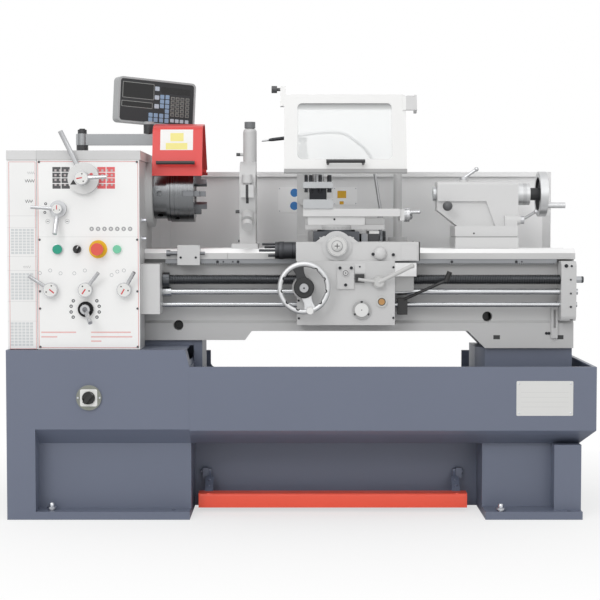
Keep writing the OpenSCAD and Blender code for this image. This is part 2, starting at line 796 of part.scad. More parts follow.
module feed_lever() color(steel) {
  hub_y = apron_front - 1;
  bar_y(hub_y - 16, hub_y, 274, 830, 44);
  bar_y(hub_y - 4, -208, 274, 830, pivot_d);
  knobbed_rod([274, hub_y - 20, 830], [387, -284, 888], 15, 18);
  rod([274, hub_y - 14, 830], [200, -262, 840], 12);
  bar_y(hub_y - 26, hub_y - 15, 274, 830, 34);
}

module spindle_lever() color(black) {
  difference() {
    block(345, 379, -188, -142, 711, 770);
    bar_x(344, 380, rod_y, switch_rod_z, switch_rod_d + 0.8);
  }
  rod([366, -185, 766], [516, -222, 836], 11);
  rod([512, -221, 830], [526, -224, 866], 18);
}

module stop_turret() color(dark_steel) {
  bar_x(-94, saddle_left - 0.5, -180, 941, 61);
  bar_x(saddle_left - 2, 8, -180, 941, 16);
  for (k = [[90, -140], [180, -151], [300, -119], [30, -132]])
    bar_x(k[1], -90, -180 + 22 * cos(k[0]), 941 + 22 * sin(k[0]), 9);
}

module cross_slide() color(dark_steel) {
  half = 82;
  difference() {
    union() {
      block(cross_x - half, cross_x + half, -150, 150, saddle_top + 2 * slide_gap, cross_top);
      bar_z(cross_top - 1, cross_top + 6, cross_x, compound_y, 138);
    }
    along_y(-151, 151) cross_way(slide_gap);
  }
}

module cross_dial() color(steel) {
  bar_y(-238, -216.5, cross_x, 957, 74);
  bar_y(-246, -237, cross_x, 957, 34);
  bar_y(-250, -190, cross_x, 957, 24);
}

module compound_way(gap) {
  translate([compound_y, 0]) polygon([[-26 - gap, 1030], [26 + gap, 1030], [34 + gap, compound_top - 2 + gap],
    [-34 - gap, compound_top - 2 + gap]]);
}

module compound_base() color(cast_paint) {
  bar_z(cross_top + 6 + slide_gap, 1031, cross_x, compound_y, 138);
  along_x(14, 300) compound_way(0);
  block(14, 300, compound_y - 44, compound_y + 44, 1014.5, 1031);
}

module top_slide() color(cast_paint) {
  difference() {
    union() {
      block(6, 356, compound_y - 48, compound_y + 48, 1031 + slide_gap, top_slide_z);
      block(356, 372, compound_y - 40, compound_y + 40, 1036, top_slide_z - 2);
      bar_z(top_slide_z - 1, 1186, post_x, compound_y, 30);
      bar_z(1185, 1215, post_x, compound_y, 18);
    }
    along_x(5, 357) compound_way(slide_gap);
    bar_x(355, 373, compound_y, 1068, 18 + 2 * run_gap);
  }
}

module top_slide_crank() color(steel) translate([0, compound_y, 0]) {
  bar_x(372.5, 392, 0, 1068, 50);
  bar_x(358, 404, 0, 1068, 18);
  rod([398, 0, 1068], [398, -44, 1078], 11);
  knobbed_rod([394, -42, 1077], [424, -44, 1078], 12, 14);
  rod([398, 0, 1068], [398, 40, 1059], 11);
  translate([398, 40, 1059]) sphere(d = 17);
}

module toolpost() color(steel) translate([0, compound_y, 0]) {
  foot = top_slide_z + slide_gap;
  difference() {
    union() {
      block(post_x - post_half, post_x + post_half, -post_half, post_half, foot, 1123);
      block(post_x - 31, post_x + 31, -31, 31, 1122, 1165);
      block(post_x - post_half, post_x + post_half, -post_half, post_half, 1164, 1186);
      for (s = [-1, 1], k = [-26, 8, 40]) {
        bar_z(1150, 1211, post_x + k, s * 43, 12);
        bar_z(1150, 1211, post_x - s * 43, s * (k - 14), 12);
      }
    }
    bar_z(foot - 1, 1187, post_x, 0, 30 + 2 * run_gap);
  }
}

module toolpost_lever() color(steel) translate([0, compound_y, 0]) {
  difference() {
    bar_z(1186.3, 1232, post_x, 0, 42);
    bar_z(1185, 1217, post_x, 0, 18 + 2 * run_gap);
  }
  knobbed_rod([post_x, 0, 1225], [post_x + 74, 0, 1237], 12, 19);
}

module follow_rest() color(cast_paint) {
  block(-16, 26, 150, 196, saddle_top, 1292);
  block(-16, 26, -22, 196, 1260, 1292);
  block(-16, 26, 108, 196, saddle_top, 994);
  bar_z(1249, 1328, 5, 0, 34);
  bar_z(1240, 1250, 5, 0, 16);
  bar_z(1327, 1336, 5, 0, 14);
  bar_z(1335, 1352, 5, 0, 32);
  bar_y(138, 151, 5, 1120, 30);
  bar_y(195, 212, 5, 1120, 30);
}

pipe_path = [[299, 1000], [299, 1090], [294, 1126], [284, 1190], [268, 1276], [246, 1312], [222, 1336],
  [170, 1372], [124, 1381], [52, 1378], [-62, 1360], [-150, 1348]];

module coolant_pipe() color(steel) {
  pipe_y = 168;
  n = len(pipe_path);
  bar_z(saddle_top, 1010, 299, pipe_y, 44);
  bar_z(1040, 1078, 299, pipe_y, 24);
  bar_y(pipe_y - 34, pipe_y, 299, 1060, 12);
  for (i = [0 : n - 2]) {
    p = [pipe_path[i][0], pipe_y, pipe_path[i][1]];
    q = [pipe_path[i + 1][0], pipe_y, pipe_path[i + 1][1]];
    rod(p, q, i > 8 ? 18 : 13);
    translate(q) sphere(d = i > 7 ? 18.8 : 13.8);
  }
}

// Chip shield

module shield_lean() {
  lean = 18;
  translate([0, shield_hinge_y, shield_hinge_z]) rotate([-lean, 0, 0]) children();
}

shield_left = -62;
shield_r = 376;
shield_h = 297;
window_pts = soft_rect(-14, -236, 325, -22, 16);

module chip_shield() color(panel_white) {
  t = 8;
  shield_lean() {
    difference() {
      along_y(-t - 10, -10) polygon(soft_rect(shield_left, -shield_h + 8, shield_r, 12, 12));
      along_y(-t - 11, -9) polygon(window_pts);
    }
    // stiffening lip along the lower edge
    block(shield_left, shield_r, -t - 16, -9, -shield_h + 8, -shield_h + 22);
    // grab handle
    for (x = [94, 220])
      bar_y(-t - 38, -t - 8, x, -254, 10);
    bar_x(88, 226, -t - 38, -254, 13);
    // bracket with a knurled screw at the upper left
    block(-76, -56, -12, 0, -30, 46);
    bar_x(-104, -56, -6, 36, 12);
    bar_x(-108, -88, -6, 36, 26);
    // hinge gusset at the right, outside the post's arm
    block(shield_r - 12, 416, -24, -17, -50, 4);
    block(405, 416, -24, 12, -50, 8);
  }
  bar_x(386, 416, shield_hinge_y, shield_hinge_z, 14);
}

module shield_window() color("#dfe8ea") {
  shield_lean() along_y(-15.5, -12.5) polygon(window_pts);
}

// Steady rest

module steady_ring() {
  difference() {
    bar_x(steady_x - 29, steady_x + 29, 0, axis_z, 238);
    bar_x(steady_x - 30, steady_x + 30, 0, axis_z, 146);
  }
}

module finger(direction) {
  // a sleeve, its jaw and its knob, pointing outward from the spindle axis
  translate([steady_x, 0, axis_z]) rotate([direction, 0, 0]) {
    translate([0, 0, 56]) cylinder(h = 96, d = 20);
    translate([0, 0, 100]) cylinder(h = 52, d = 44);
    translate([0, 0, 150]) cylinder(h = 24, d = 16);
    translate([0, 0, 166]) cylinder(h = 22, d = 40);
  }
}

module steady_base() color(cast_paint) {
  difference() {
    union() {
      block(steady_x - 29, steady_x + 29, -92, 92, way_z + slide_gap, 1090);
      block(-252, -158, -118, 118, way_z + slide_gap, 964);
      steady_ring();
      block(steady_x - 24, steady_x + 24, -146, -100, 1130, split_z);
      for (x = [steady_x - 29, steady_x + 11])
        block(x, x + 18, 100, steady_hinge_y, 1136, split_z);
    }
    bar_x(steady_x - 30, steady_x + 30, 0, axis_z, 146);
    block(steady_x - 40, steady_x + 40, -200, 200, split_z, 1300);
  }
  for (x = [steady_x - 29, steady_x + 11])
    bar_x(x, x + 18, steady_hinge_y, split_z, 28);
  bar_x(steady_x - 29, steady_x + 29, steady_hinge_y, split_z, 12);
  finger(130);
  finger(230);
  bar_x(steady_x - 44, steady_x - 28, -70, 1080, 12);
}

module steady_top() color(cast_paint) {
  gap = 0.3;
  difference() {
    union() {
      difference() {
        union() {
          steady_ring();
          block(steady_x - 24, steady_x + 24, -146, -100, 1140, 1176);
        }
        bar_x(steady_x - 30, steady_x + 30, 0, axis_z, 146);
        block(steady_x - 40, steady_x + 40, -200, 200, 1000, split_z + gap);
      }
      block(steady_x - 11 + gap, steady_x + 11 - gap, 100, steady_hinge_y, split_z + gap, 1166);
      bar_x(steady_x - 11 + gap, steady_x + 11 - gap, steady_hinge_y, split_z, 28);
    }
    bar_x(steady_x - 30, steady_x + 30, steady_hinge_y, split_z, 12 + 4 * run_gap);
  }
  bar_z(1176, 1183, steady_x, -128, 24);
  bar_z(1182, 1212, steady_x, -128, 38);
  // upper sleeve with its jaw and knob
  bar_z(1201, 1262, steady_x + 6, 0, 20);
  bar_z(1240, 1372, steady_x + 6, 0, 50);
  bar_z(1371, 1388, steady_x + 6, 0, 16);
  bar_z(1386, 1409, steady_x + 6, 0, 40);
  bar_x(steady_x - 44, steady_x - 10, 0, 1290, 12);
}

// Tailstock

module tailstock() color(cast_paint) {
  half = 58;
  web_half = 46;
  top_z = 1189;
  bar_z0 = 1118;
  round_r = 12;
  sole = way_z + slide_gap;
  difference() {
    union() {
      // barrel and column in one, rounded along the top
      intersection() {
        along_y(-half, half) polygon([[tail_left, top_z], [tail_left, bar_z0], [674, bar_z0],
          [708, 1026], [tail_right, 1026], [tail_right, top_z]]);
        along_x(tail_left, tail_right) polygon(concat([[half, 1000]],
          arc([half - round_r, top_z - round_r], round_r, 0, 90, 4),
          arc([round_r - half, top_z - round_r], round_r, 90, 180, 4), [[-half, 1000]]));
      }
      // web set back under the barrel
      along_y(-web_half, web_half) polygon([[tail_left, bar_z0 + 1], [tail_left, 1086], [572, 1026],
        [709, 1026], [676, bar_z0 + 1]]);
      block(557, 785, -96, 96, 990, 1028);
      block(560, 782, -98, 98, 986, 991);
      block(557, 785, -108, 108, sole, 987);
      // ball knob on its stem
      bar_y(-92, -40, 529, 1100, 12);
      translate([529, -100, 1100]) sphere(d = 36);
      // clamp shaft's boss
      bar_x(740, 797, -60, 1050, 34);
      block(740, 785, -77, -43, 1020, 1050);
      bar_z(1188, 1197, 597, 0, 34);
    }
    bar_x(tail_left - 1, tail_right - 12, 0, axis_z, quill_d + 2 * run_gap);
    bar_x(tail_right - 13, tail_right + 1, 0, axis_z, 26 + 2 * run_gap);
    bar_z(1196, 1198, 597, 0, 12);
    bar_z(1182, 1198, 597, 0, 14 + 2 * run_gap);
    bar_x(764, 798, -60, 1050, 14 + 2 * run_gap);
  }
}

module quill() color(steel) {
  difference() {
    bar_x(484, 760, 0, axis_z, quill_d);
    bar_x(483, 566, 0, axis_z, 24);
    bar_x(600, 761, 0, axis_z, 24);
  }
}

module tail_handwheel() color(steel) {
  wheel_x = 884;
  rim_r = tail_wheel_d / 2 - 11;
  bar_x(610, 795, 0, axis_z, 20);
  bar_x(762, 795, 0, axis_z, 26);
  bar_x(tail_right + 0.5, 838, 0, axis_z, 80);
  bar_x(836, 900, 0, axis_z, 46);
  translate([wheel_x, 0, axis_z]) rotate([0, 90, 0]) {
    rotate_extrude() translate([rim_r, 0]) square([22, 28], center = true);
    for (a = [10, 130, 250])
      rotate([0, 0, a]) translate([16, -13, -6]) cube([rim_r - 22, 26, 12]);
  }
  bar_x(892, 961, -58, axis_z - 42, 21);
}

module quill_lever() color(steel) {
  bar_z(1184, 1200, 597, 0, 14);
  bar_z(1197.5, 1208, 597, 0, 30);
  knobbed_rod([597, 0, 1203], [644, 0, 1236], 12, 17);
}

module clamp_lever() color(steel) {
  bar_x(766, 804, -60, 1050, 14);
  bar_x(797.5, 811, -60, 1050, 28);
  knobbed_rod([804, -60, 1050], [850, -92, 1080], 11, 15);
}

// Splash guard

module splash_guard() color(cast_paint) {
  left = -480;
  right = 930;
  low = 650;
  top = 1235;
  translate([0, 0, low]) linear_extrude(top - low)
    polygon([[left, 268], [right, 268], [957, 241], [959, 243], [right + 1, 271], [left, 271]]);
  block(left, right, 254, 270, top - 3, top);
  // brackets to the back of the bed
  for (x = [-380, 200, 780])
    block(x, x + 40, 106, 269, 690, 696);
}

left_cabinet();
right_cabinet();
chip_tray();
bed();
feed_rack();
headstock();
front_panel();
splash_guard();
electrical_box();
motor_drive();
stop_block();
end_cover();
spindle();
chuck_body();
chuck_jaw_1();
chuck_jaw_2();
chuck_jaw_3();
chuck_guard();
dro_arm();
dro_display();
speed_lever();
range_lever();
thread_lever();
direction_lever();
gear_lever_1();
gear_lever_2();
gear_lever_3();
feed_selector();
start_button();
coolant_switch();
emergency_stop();
main_switch();
brake_pedal();
leadscrew();
feed_rod();
switch_rod();
saddle();
apron();
carriage_handwheel();
feed_lever();
spindle_lever();
stop_turret();
cross_slide();
cross_dial();
compound_base();
top_slide();
top_slide_crank();
toolpost();
toolpost_lever();
follow_rest();
coolant_pipe();
chip_shield();
shield_window();
steady_base();
steady_top();
tailstock();
quill();
tail_handwheel();
quill_lever();
clamp_lever();
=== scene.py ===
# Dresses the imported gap-bed lathe: a finish for every solid, and the pieces that only show up close.
import json
import math

import bmesh
import bpy
import numpy as np
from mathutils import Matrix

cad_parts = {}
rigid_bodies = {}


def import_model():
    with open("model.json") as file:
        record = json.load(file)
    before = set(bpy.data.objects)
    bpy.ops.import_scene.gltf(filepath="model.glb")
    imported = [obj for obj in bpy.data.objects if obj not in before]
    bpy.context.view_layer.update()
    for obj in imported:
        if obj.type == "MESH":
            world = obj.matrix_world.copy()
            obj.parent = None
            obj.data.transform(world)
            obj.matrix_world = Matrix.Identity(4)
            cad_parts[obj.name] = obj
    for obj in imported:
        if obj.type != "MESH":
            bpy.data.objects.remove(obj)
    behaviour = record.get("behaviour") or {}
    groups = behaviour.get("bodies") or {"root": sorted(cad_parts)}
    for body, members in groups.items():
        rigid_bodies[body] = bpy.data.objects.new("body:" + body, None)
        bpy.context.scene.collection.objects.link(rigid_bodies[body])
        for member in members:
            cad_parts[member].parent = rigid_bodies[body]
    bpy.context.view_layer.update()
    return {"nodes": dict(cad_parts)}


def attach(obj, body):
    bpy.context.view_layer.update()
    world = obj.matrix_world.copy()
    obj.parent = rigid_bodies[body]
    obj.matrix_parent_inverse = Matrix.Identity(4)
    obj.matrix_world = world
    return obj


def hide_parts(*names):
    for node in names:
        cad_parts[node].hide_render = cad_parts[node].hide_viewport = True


for starter in list(bpy.data.objects):
    bpy.data.objects.remove(starter)
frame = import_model()
nodes = frame["nodes"]


# Studio. A pale floor that fades to white away from the machine, a white room, and three soft
# lamps. The camera stands where the photographer stood: chest high, square to the front, far back.

class Field:
    """One value that varies over a surface: an output socket of a material's tree.
    Sums, products and the like of Fields and numbers add Math nodes to that tree."""

    def __init__(self, tree, socket=None):
        self.tree = tree
        self.socket = socket

    def node(self, kind, sockets, out=0, **settings):
        """A node of any kind: its settings first, then the values or links of its sockets."""
        made = self.tree.nodes.new(kind)
        for key, value in settings.items():
            setattr(made, key, value)
        for key, value in sockets.items():
            if isinstance(value, Field):
                self.tree.links.new(value.socket, made.inputs[key])
            else:
                made.inputs[key].default_value = value
        return Field(self.tree, made.outputs[out])

    def math(self, operation, *values):
        return self.node("ShaderNodeMath", dict(enumerate(values)), operation=operation)

    def __add__(self, other):
        return self.math("ADD", self, other)

    def __sub__(self, other):
        return self.math("SUBTRACT", self, other)

    def __rsub__(self, other):
        return self.math("SUBTRACT", other, self)

    def __mul__(self, other):
        return self.math("MULTIPLY", self, other)

    def __abs__(self):
        return self.math("ABSOLUTE", self)

    __radd__ = __add__
    __rmul__ = __mul__

    def root(self):
        return self.math("SQRT", self)

    def wrapped(self, period):
        return self.math("FLOORED_MODULO", self, period)

    def turned_from(self, other):
        """The angle whose sine goes with this value and whose cosine goes with the other."""
        return self.math("ARCTAN2", self, other)

    def either(self, other):
        return self.math("MAXIMUM", self, other)

    def both(self, *others):
        total = self
        for other in others:
            total = total.math("MINIMUM", total, other)
        return total

    def ramp(self, start, end, first, last):
        return self.node("ShaderNodeMapRange", {0: self, 1: start, 2: end, 3: first, 4: last})

    def below(self, edge, soft=0.25):
        """1 where the value is under the edge, 0 over it, with a soft line between."""
        return self.ramp(edge - soft, edge + soft, 1.0, 0.0)

    def above(self, edge, soft=0.25):
        return self.ramp(edge - soft, edge + soft, 0.0, 1.0)

    def within(self, low, high, soft=0.25):
        return self.above(low, soft).both(self.below(high, soft))

    def blend(self, first, second):
        """A colour: the first where this value is 0, the second where it is 1."""
        return self.node("ShaderNodeMix", {0: self, 6: first, 7: second}, 2, data_type="RGBA")

    def feed(self, shader, socket):
        self.tree.links.new(self.socket, shader.inputs[socket])

    def bump(self, shader, strength, distance=0.0003):
        """Feeds the shader's normal, with this value as the height."""
        relief = {"Strength": strength, "Distance": distance, "Height": self}
        self.node("ShaderNodeBump", relief, "Normal").feed(shader, "Normal")


def rgb(code, share=1.0):
    """Linear colour of a six-digit sRGB code: c/12.92 near black, ((c + 0.055)/1.055)^2.4 above. A
    share under 1 darkens it."""
    part = np.array([int(code[i:i + 2], 16) for i in (0, 2, 4)]) / 255
    linear = np.where(part <= 0.04045, part / 12.92, ((part + 0.055) / 1.055) ** 2.4)
    return (*(linear * share).tolist(), 1.0)


def finish(name, **constants):
    """A material with one Principled shader. Constants go on its own sockets; gives the material, the
    shader and the surface's place in Object coordinates."""
    material = bpy.data.materials.new(name)
    material.use_nodes = True
    tree = material.node_tree
    shader = tree.nodes["Principled BSDF"]
    for key, value in constants.items():
        shader.inputs[key.replace("_", " ")].default_value = value
    return material, shader, Field(tree).node("ShaderNodeTexCoord", {}, "Object")


def axes(place, unit=1000.0):
    """The three coordinates of a place, in millimetres, from one Separate node."""
    scaled = place.node("ShaderNodeVectorMath", {0: place, "Scale": unit}, operation="SCALE")
    first = place.node("ShaderNodeSeparateXYZ", {0: scaled})
    return [Field(first.tree, socket) for socket in first.socket.node.outputs]


def seen_by(tree, *rays):
    """1 for the kinds of ray named, 0 for all others."""
    total = Field(tree).node("ShaderNodeLightPath", {}, rays[0])
    for ray in rays[1:]:
        total = total.either(total.node("ShaderNodeLightPath", {}, ray))
    return total


FLOOR_HALF = 9.0
SHADOW_REACH = 1600.0
floor_mesh = bpy.data.meshes.new("floor")
side = np.array([-FLOOR_HALF, FLOOR_HALF])
corners = np.stack([*np.meshgrid(side, side), np.zeros((2, 2))], -1).reshape(-1, 3)
floor_mesh.from_pydata(corners.tolist(), [], [(0, 1, 3, 2)])
floor = bpy.data.objects.new("floor", floor_mesh)
bpy.context.scene.collection.objects.link(floor)
floor_paint, floor_shader, floor_place = finish("pale_floor", Roughness=0.8, Base_Color=rgb("f2f2f2"))
across, along, _ = axes(floor_place)
reach = (across * across * 0.4 + along * along).root()
seen = seen_by(floor_paint.node_tree, "Is Camera Ray", "Is Transmission Ray")
fade = reach.ramp(300.0, SHADOW_REACH, 0.62, 1.0)
glow = seen.node("ShaderNodeEmission", {"Color": (1, 1, 1, 1), "Strength": 1.0})
lit = Field(floor_paint.node_tree, floor_shader.outputs[0])
mixed = lit.node("ShaderNodeMixShader", {0: seen * fade, 1: lit, 2: glow})
mixed.feed(floor_paint.node_tree.nodes["Material Output"], "Surface")
floor_mesh.materials.append(floor_paint)

AMBIENT = 0.56
room = bpy.data.worlds.new("white_room")
bpy.context.scene.world = room
room.use_nodes = True
backing = room.node_tree.nodes["Background"]
backing.inputs["Color"].default_value = (1.0, 1.0, 1.0, 1.0)
shown = seen_by(room.node_tree, "Is Camera Ray", "Is Glossy Ray", "Is Transmission Ray")
(shown * (1 - AMBIENT) + AMBIENT).feed(backing, "Strength")

for lamp_name, place, target, width, power in (
        ("key_lamp", (-3.8, -8.2, 5.6), (0.0, 0.0, 0.8), 4.6, 262.0),
        ("fill_lamp", (2.8, -8.6, 3.4), (0.2, 0.0, 0.8), 4.2, 62.0),
        ("top_lamp", (-0.2, -1.9, 4.6), (0.0, 0.0, 0.9), 3.0, 34.0)):
    lamp = bpy.data.lights.new(lamp_name, "AREA")
    lamp.shape = "SQUARE"
    lamp.size = width
    lamp.energy = power
    stand = bpy.data.objects.new(lamp_name, lamp)
    bpy.context.scene.collection.objects.link(stand)
    stand.location = place
    aim = np.array(target) - np.array(place)
    tilt = math.atan2(math.hypot(aim[0], aim[1]), -aim[2])
    stand.rotation_euler = (tilt, 0.0, math.atan2(-aim[0], aim[1]))

SENSOR = 36.0
PHOTO_FOCAL, PHOTO_WIDTH = 1526, 600
camera = bpy.data.objects.new("camera", bpy.data.cameras.new("camera"))
camera.data.sensor_width = SENSOR
camera.data.lens = SENSOR * PHOTO_FOCAL / PHOTO_WIDTH
camera.location = (-0.005, -5.63, 1.03)
camera.rotation_euler = (math.radians(87.2), 0.0, 0.0)
bpy.context.scene.collection.objects.link(camera)
bpy.context.scene.camera = camera
bpy.context.scene.view_settings.view_transform = "Standard"


# Base. Two cabinets and the chip tray between them, welded from sheet steel and coated in satin
# blue-grey stove enamel. The press rounds the folds; bolts through the toe ledge level the machine.

def noise(place, scale, detail=2.0, stretch=None):
    """Cloud noise about 0.5; stretch squeezes it along an axis."""
    if stretch:
        place = place.node("ShaderNodeMapping", {"Vector": place, "Scale": stretch})
    return place.node("ShaderNodeTexNoise", {"Vector": place, "Scale": scale, "Detail": detail}, "Fac")


CREASE = math.radians(40)


def edge_shading():
    """A modifier tree: imported normals off, every face smooth, edges over the crease angle sharp."""
    tree = bpy.data.node_groups.new("edge_shading", "GeometryNodeTree")
    for way in ("INPUT", "OUTPUT"):
        tree.interface.new_socket("Geometry", in_out=way, socket_type="NodeSocketGeometry")
    start, bare, smooth, crease, angle, sharp, end = [tree.nodes.new(kind) for kind in (
        "NodeGroupInput", "GeometryNodeRemoveAttribute", "GeometryNodeSetShadeSmooth",
        "GeometryNodeSetShadeSmooth", "GeometryNodeInputMeshEdgeAngle", "FunctionNodeCompare",
        "NodeGroupOutput")]
    bare.inputs["Name"].default_value = "custom_normal"
    crease.domain = "EDGE"
    crease.inputs["Shade Smooth"].default_value = False
    sharp.inputs["B"].default_value = CREASE
    for source, target, socket in (
            (start, bare, "Geometry"), (bare, smooth, "Geometry"), (smooth, crease, "Geometry"),
            (angle, sharp, "A"), (sharp, crease, "Selection"), (crease, end, 0)):
        tree.links.new(source.outputs[0], target.inputs[socket])
    return tree


crisp = edge_shading()


def rounded(solid, edge):
    """Rounds the sharp edges of an object by a small radius in metres."""
    rounding = solid.modifiers.new("rounding", "BEVEL")
    rounding.width = edge
    rounding.segments = 2
    rounding.limit_method = "ANGLE"
    rounding.angle_limit = CREASE
    rounding.use_clamp_overlap = True


def dress(names, material, edge):
    """Gives CAD nodes a finish, and rounds their edges by a small radius in metres."""
    for name in names.split():
        solid = nodes[name]
        solid.material_slots[0].material = material
        weld = solid.modifiers.new("weld", "WELD")
        weld.merge_threshold = 1e-5
        flat = solid.modifiers.new("flat", "DECIMATE")
        flat.decimate_type = "DISSOLVE"
        flat.angle_limit = math.radians(0.5)
        if edge:
            rounded(solid, edge)
        shading = solid.modifiers.new("shading", "NODES")
        shading.node_group = crisp
        weights = solid.modifiers.new("weights", "WEIGHTED_NORMAL")
        weights.keep_sharp = True


def enamel(name, code, rough=0.42, peel=0.04, tone=0.06):
    """Sprayed enamel: a little mottling of the colour, orange peel in the bump, uneven gloss.
    Gives the material, its shader, the three coordinates and the tint."""
    material, shader, place = finish(name, Coat_Weight=0.12, Coat_Roughness=0.3)
    tint = noise(place, 3.1, 3.0).blend(rgb(code, 1 - tone), rgb(code))
    tint.feed(shader, "Base Color")
    (noise(place, 7.0, 3.0) * 0.12 + (rough - 0.06)).feed(shader, "Roughness")
    noise(place, 420.0, 1.0).bump(shader, peel, 0.0004)
    return material, shader, axes(place), tint


def layered(shader, tint, *coats):
    """Lays coats, each a mask and a colour code, over a tint and feeds the base colour."""
    for mask, code in coats:
        tint = mask.blend(tint, rgb(code))
    tint.feed(shader, "Base Color")


def gap(u, v, at):
    """Distance from a point in a plane: the root of the two squares."""
    a = u - at[0]
    b = v - at[1]
    return (a * a + b * b).root()


def piece(name, shells, material, body):
    """One mesh from grids of points in millimetres. A grid's columns close round; rows that shrink
    to a point close its ends. Doubles are merged, and the normals turned outwards."""
    points, faces, start = [], [], 0
    for grid in shells:
        rows, columns = grid.shape[:2]
        index = np.arange(rows * columns).reshape(rows, columns) + start
        index = np.hstack([index, index[:, :1]])
        quads = np.stack([index[:-1, :-1], index[:-1, 1:], index[1:, 1:], index[1:, :-1]], -1)
        points.append(grid.reshape(-1, 3) / 1000)
        faces.append(quads.reshape(-1, 4))
        start += rows * columns
    mesh = bpy.data.meshes.new(name)
    mesh.from_pydata(np.concatenate(points).tolist(), [], np.concatenate(faces).tolist())
    work = bmesh.new()
    work.from_mesh(mesh)
    bmesh.ops.remove_doubles(work, verts=work.verts, dist=2e-6)
    bmesh.ops.recalc_face_normals(work, faces=work.faces)
    work.to_mesh(mesh)
    work.free()
    mesh.shade_smooth()
    mesh.set_sharp_from_angle(angle=math.radians(38))
    mesh.materials.append(material)
    made = bpy.data.objects.new(name, mesh)
    bpy.context.scene.collection.objects.link(made)
    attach(made, body)
    return made


FRONT, RIGHT, UP = (0, -1, 0), (1, 0, 0), (0, 0, 1)


def circle(sides):
    """Even angles all round."""
    return np.linspace(0, 2 * np.pi, sides, endpoint=False)


def spokes(toward, sides):
    """Unit vectors all round an axis, and the axis."""
    axis = np.array(toward, float) / np.linalg.norm(toward)
    side = np.cross(axis, (0.0, 0.6, 0.8) if abs(axis[0]) > 0.5 else (1.0, 0.0, 0.0))
    side /= np.linalg.norm(side)
    angle = circle(sides)[:, None]
    return np.cos(angle) * side + np.sin(angle) * np.cross(axis, side), axis


def turned(profile, foot, toward, sides=32, lobes=0, depth=0.0):
    """A lathe form: pairs of radius and height, swept round an axis from the foot. Lobes ripple every
    radius by a cosine, as knurling does; the ends are closed to the axis."""
    ray, axis = spokes(toward, sides)
    radius, height = np.array([(0, profile[0][1]), *profile, (0, profile[-1][1])], float).T
    ripple = 1 + depth * np.cos(lobes * circle(sides))
    return np.array(foot, float) + height[:, None, None] * axis + (
        radius[:, None, None] * ripple[None, :, None] * ray)


BASE_BLUE = "6c7385"
MAIN_SWITCH = (-741, 430)
cabinet_enamel, shader, (x, y, z), tint = enamel("cabinet_enamel", BASE_BLUE, 0.40)
layered(shader, tint, (gap(x, z, MAIN_SWITCH).below(44.6).both(y.below(-330.5)), "84877f"))
dress("left_cabinet", cabinet_enamel, 0.003)
stove_enamel = enamel("stove_enamel", BASE_BLUE, 0.40)[0]
dress("right_cabinet chip_tray", stove_enamel, 0.003)

bright_zinc, shader, place = finish("bright_zinc", Metallic=1.0)
noise(place, 60.0).blend(rgb("b9bcc2"), rgb("dcdee2")).feed(shader, "Base Color")
(noise(place, 200.0) * 0.2 + 0.2).feed(shader, "Roughness")
LEVEL_BOLT = [(8.9, -20), (8.9, 5), (16, 5), (16, 12), (14, 13.5), (9, 13.5), (9, 24), (7.5, 26)]
piece("levelling_bolts", [turned(LEVEL_BOLT, (*at, 28), UP, 24)
                          for at in ((-880, -290), (-880, 350), (700, -312), (700, 350))],
      bright_zinc, "base")


# Brake pedal. A folded steel tread in signal red, hung from two straps in the base's colour that are
# bolted to arms behind them and turn on pins in lugs.

def plate(centre, half_u, half_v, corner, thick, steps=4):
    """A flat sheet facing the front: a rectangle with rounded corners, its front edge broken."""
    turn = np.linspace(0, np.pi / 2, steps + 1)
    angle = np.concatenate([turn + k * np.pi / 2 for k in range(4)])
    east = np.repeat([1, -1, -1, 1], steps + 1)
    north = np.repeat([1, 1, -1, -1], steps + 1)
    rows = []
    for inset, rise in ((None, 0.0), (0.0, 0.0), (0.0, 0.7), (0.3, 1.0), (None, 1.0)):
        if inset is None:
            u = v = 0 * angle
        else:
            r = corner - inset * thick
            u = east * (half_u - corner) + r * np.cos(angle)
            v = north * (half_v - corner) + r * np.sin(angle)
        rows.append(np.stack([u, 0 * u - rise * thick, v], -1))
    return np.array(rows) + np.array(centre, float)


pedal_enamel, shader, (x, y, z), tint = enamel("pedal_enamel", "fb5a40", 0.36)
layered(shader, tint, (z.above(70.6), BASE_BLUE))
dress("brake_pedal", pedal_enamel, 0.001)
STRAP_FOOT, STRAP_HEAD = np.array([-148.0, 62.0]), np.array([-86.0, 111.0])
middle = (STRAP_FOOT + STRAP_HEAD) / 2
half = np.linalg.norm(STRAP_HEAD - STRAP_FOOT) / 2
cos, sin = (STRAP_HEAD - STRAP_FOOT) / (2 * half)
leaning = np.array([[1, 0, 0], [0, sin, cos], [0, -cos, sin]])
straps, strap_bolts = [], []
for at_x in (-335, 561):
    straps.append(plate((0, 0, 0), 15, half, 2, 4) @ leaning.T + (at_x, *middle))
    for shift in (-6, 22):
        foot = (at_x, middle[0] + shift * cos - 4 * sin, middle[1] + shift * sin + 4 * cos)
        strap_bolts.append(turned([(6, 0), (6, 4), (4.6, 5.2)], foot, (0, -sin, cos), 6))
piece("pedal_straps", straps, stove_enamel, "brake_pedal")
piece("pedal_strap_bolts", strap_bolts, stove_enamel, "brake_pedal")


# Main switch and bare plate. A black moulded knob turns in a white square plate on a grey boss; the
# plate on the tray's band is plain printed aluminium on four drive screws.

def socket_screw(at, radius, height):
    """A cap screw that faces the front: a turned head with a six-sided socket, whose wall is
    a / cos(angle from the flat)."""
    ray, axis = spokes(FRONT, 24)
    hexagon = 0.52 * radius / np.cos((circle(24) + np.pi / 6) % (np.pi / 3) - np.pi / 6)
    ring = np.full(24, float(radius))
    rows = np.array([0 * ring, ring, ring, 0.88 * ring, hexagon, hexagon, 0 * ring])
    rise = np.array([-0.5, -0.5, 0.85 * height, height, height, 0.45 * height, 0.45 * height])
    return np.array(at, float) + rise[:, None, None] * axis + rows[..., None] * ray


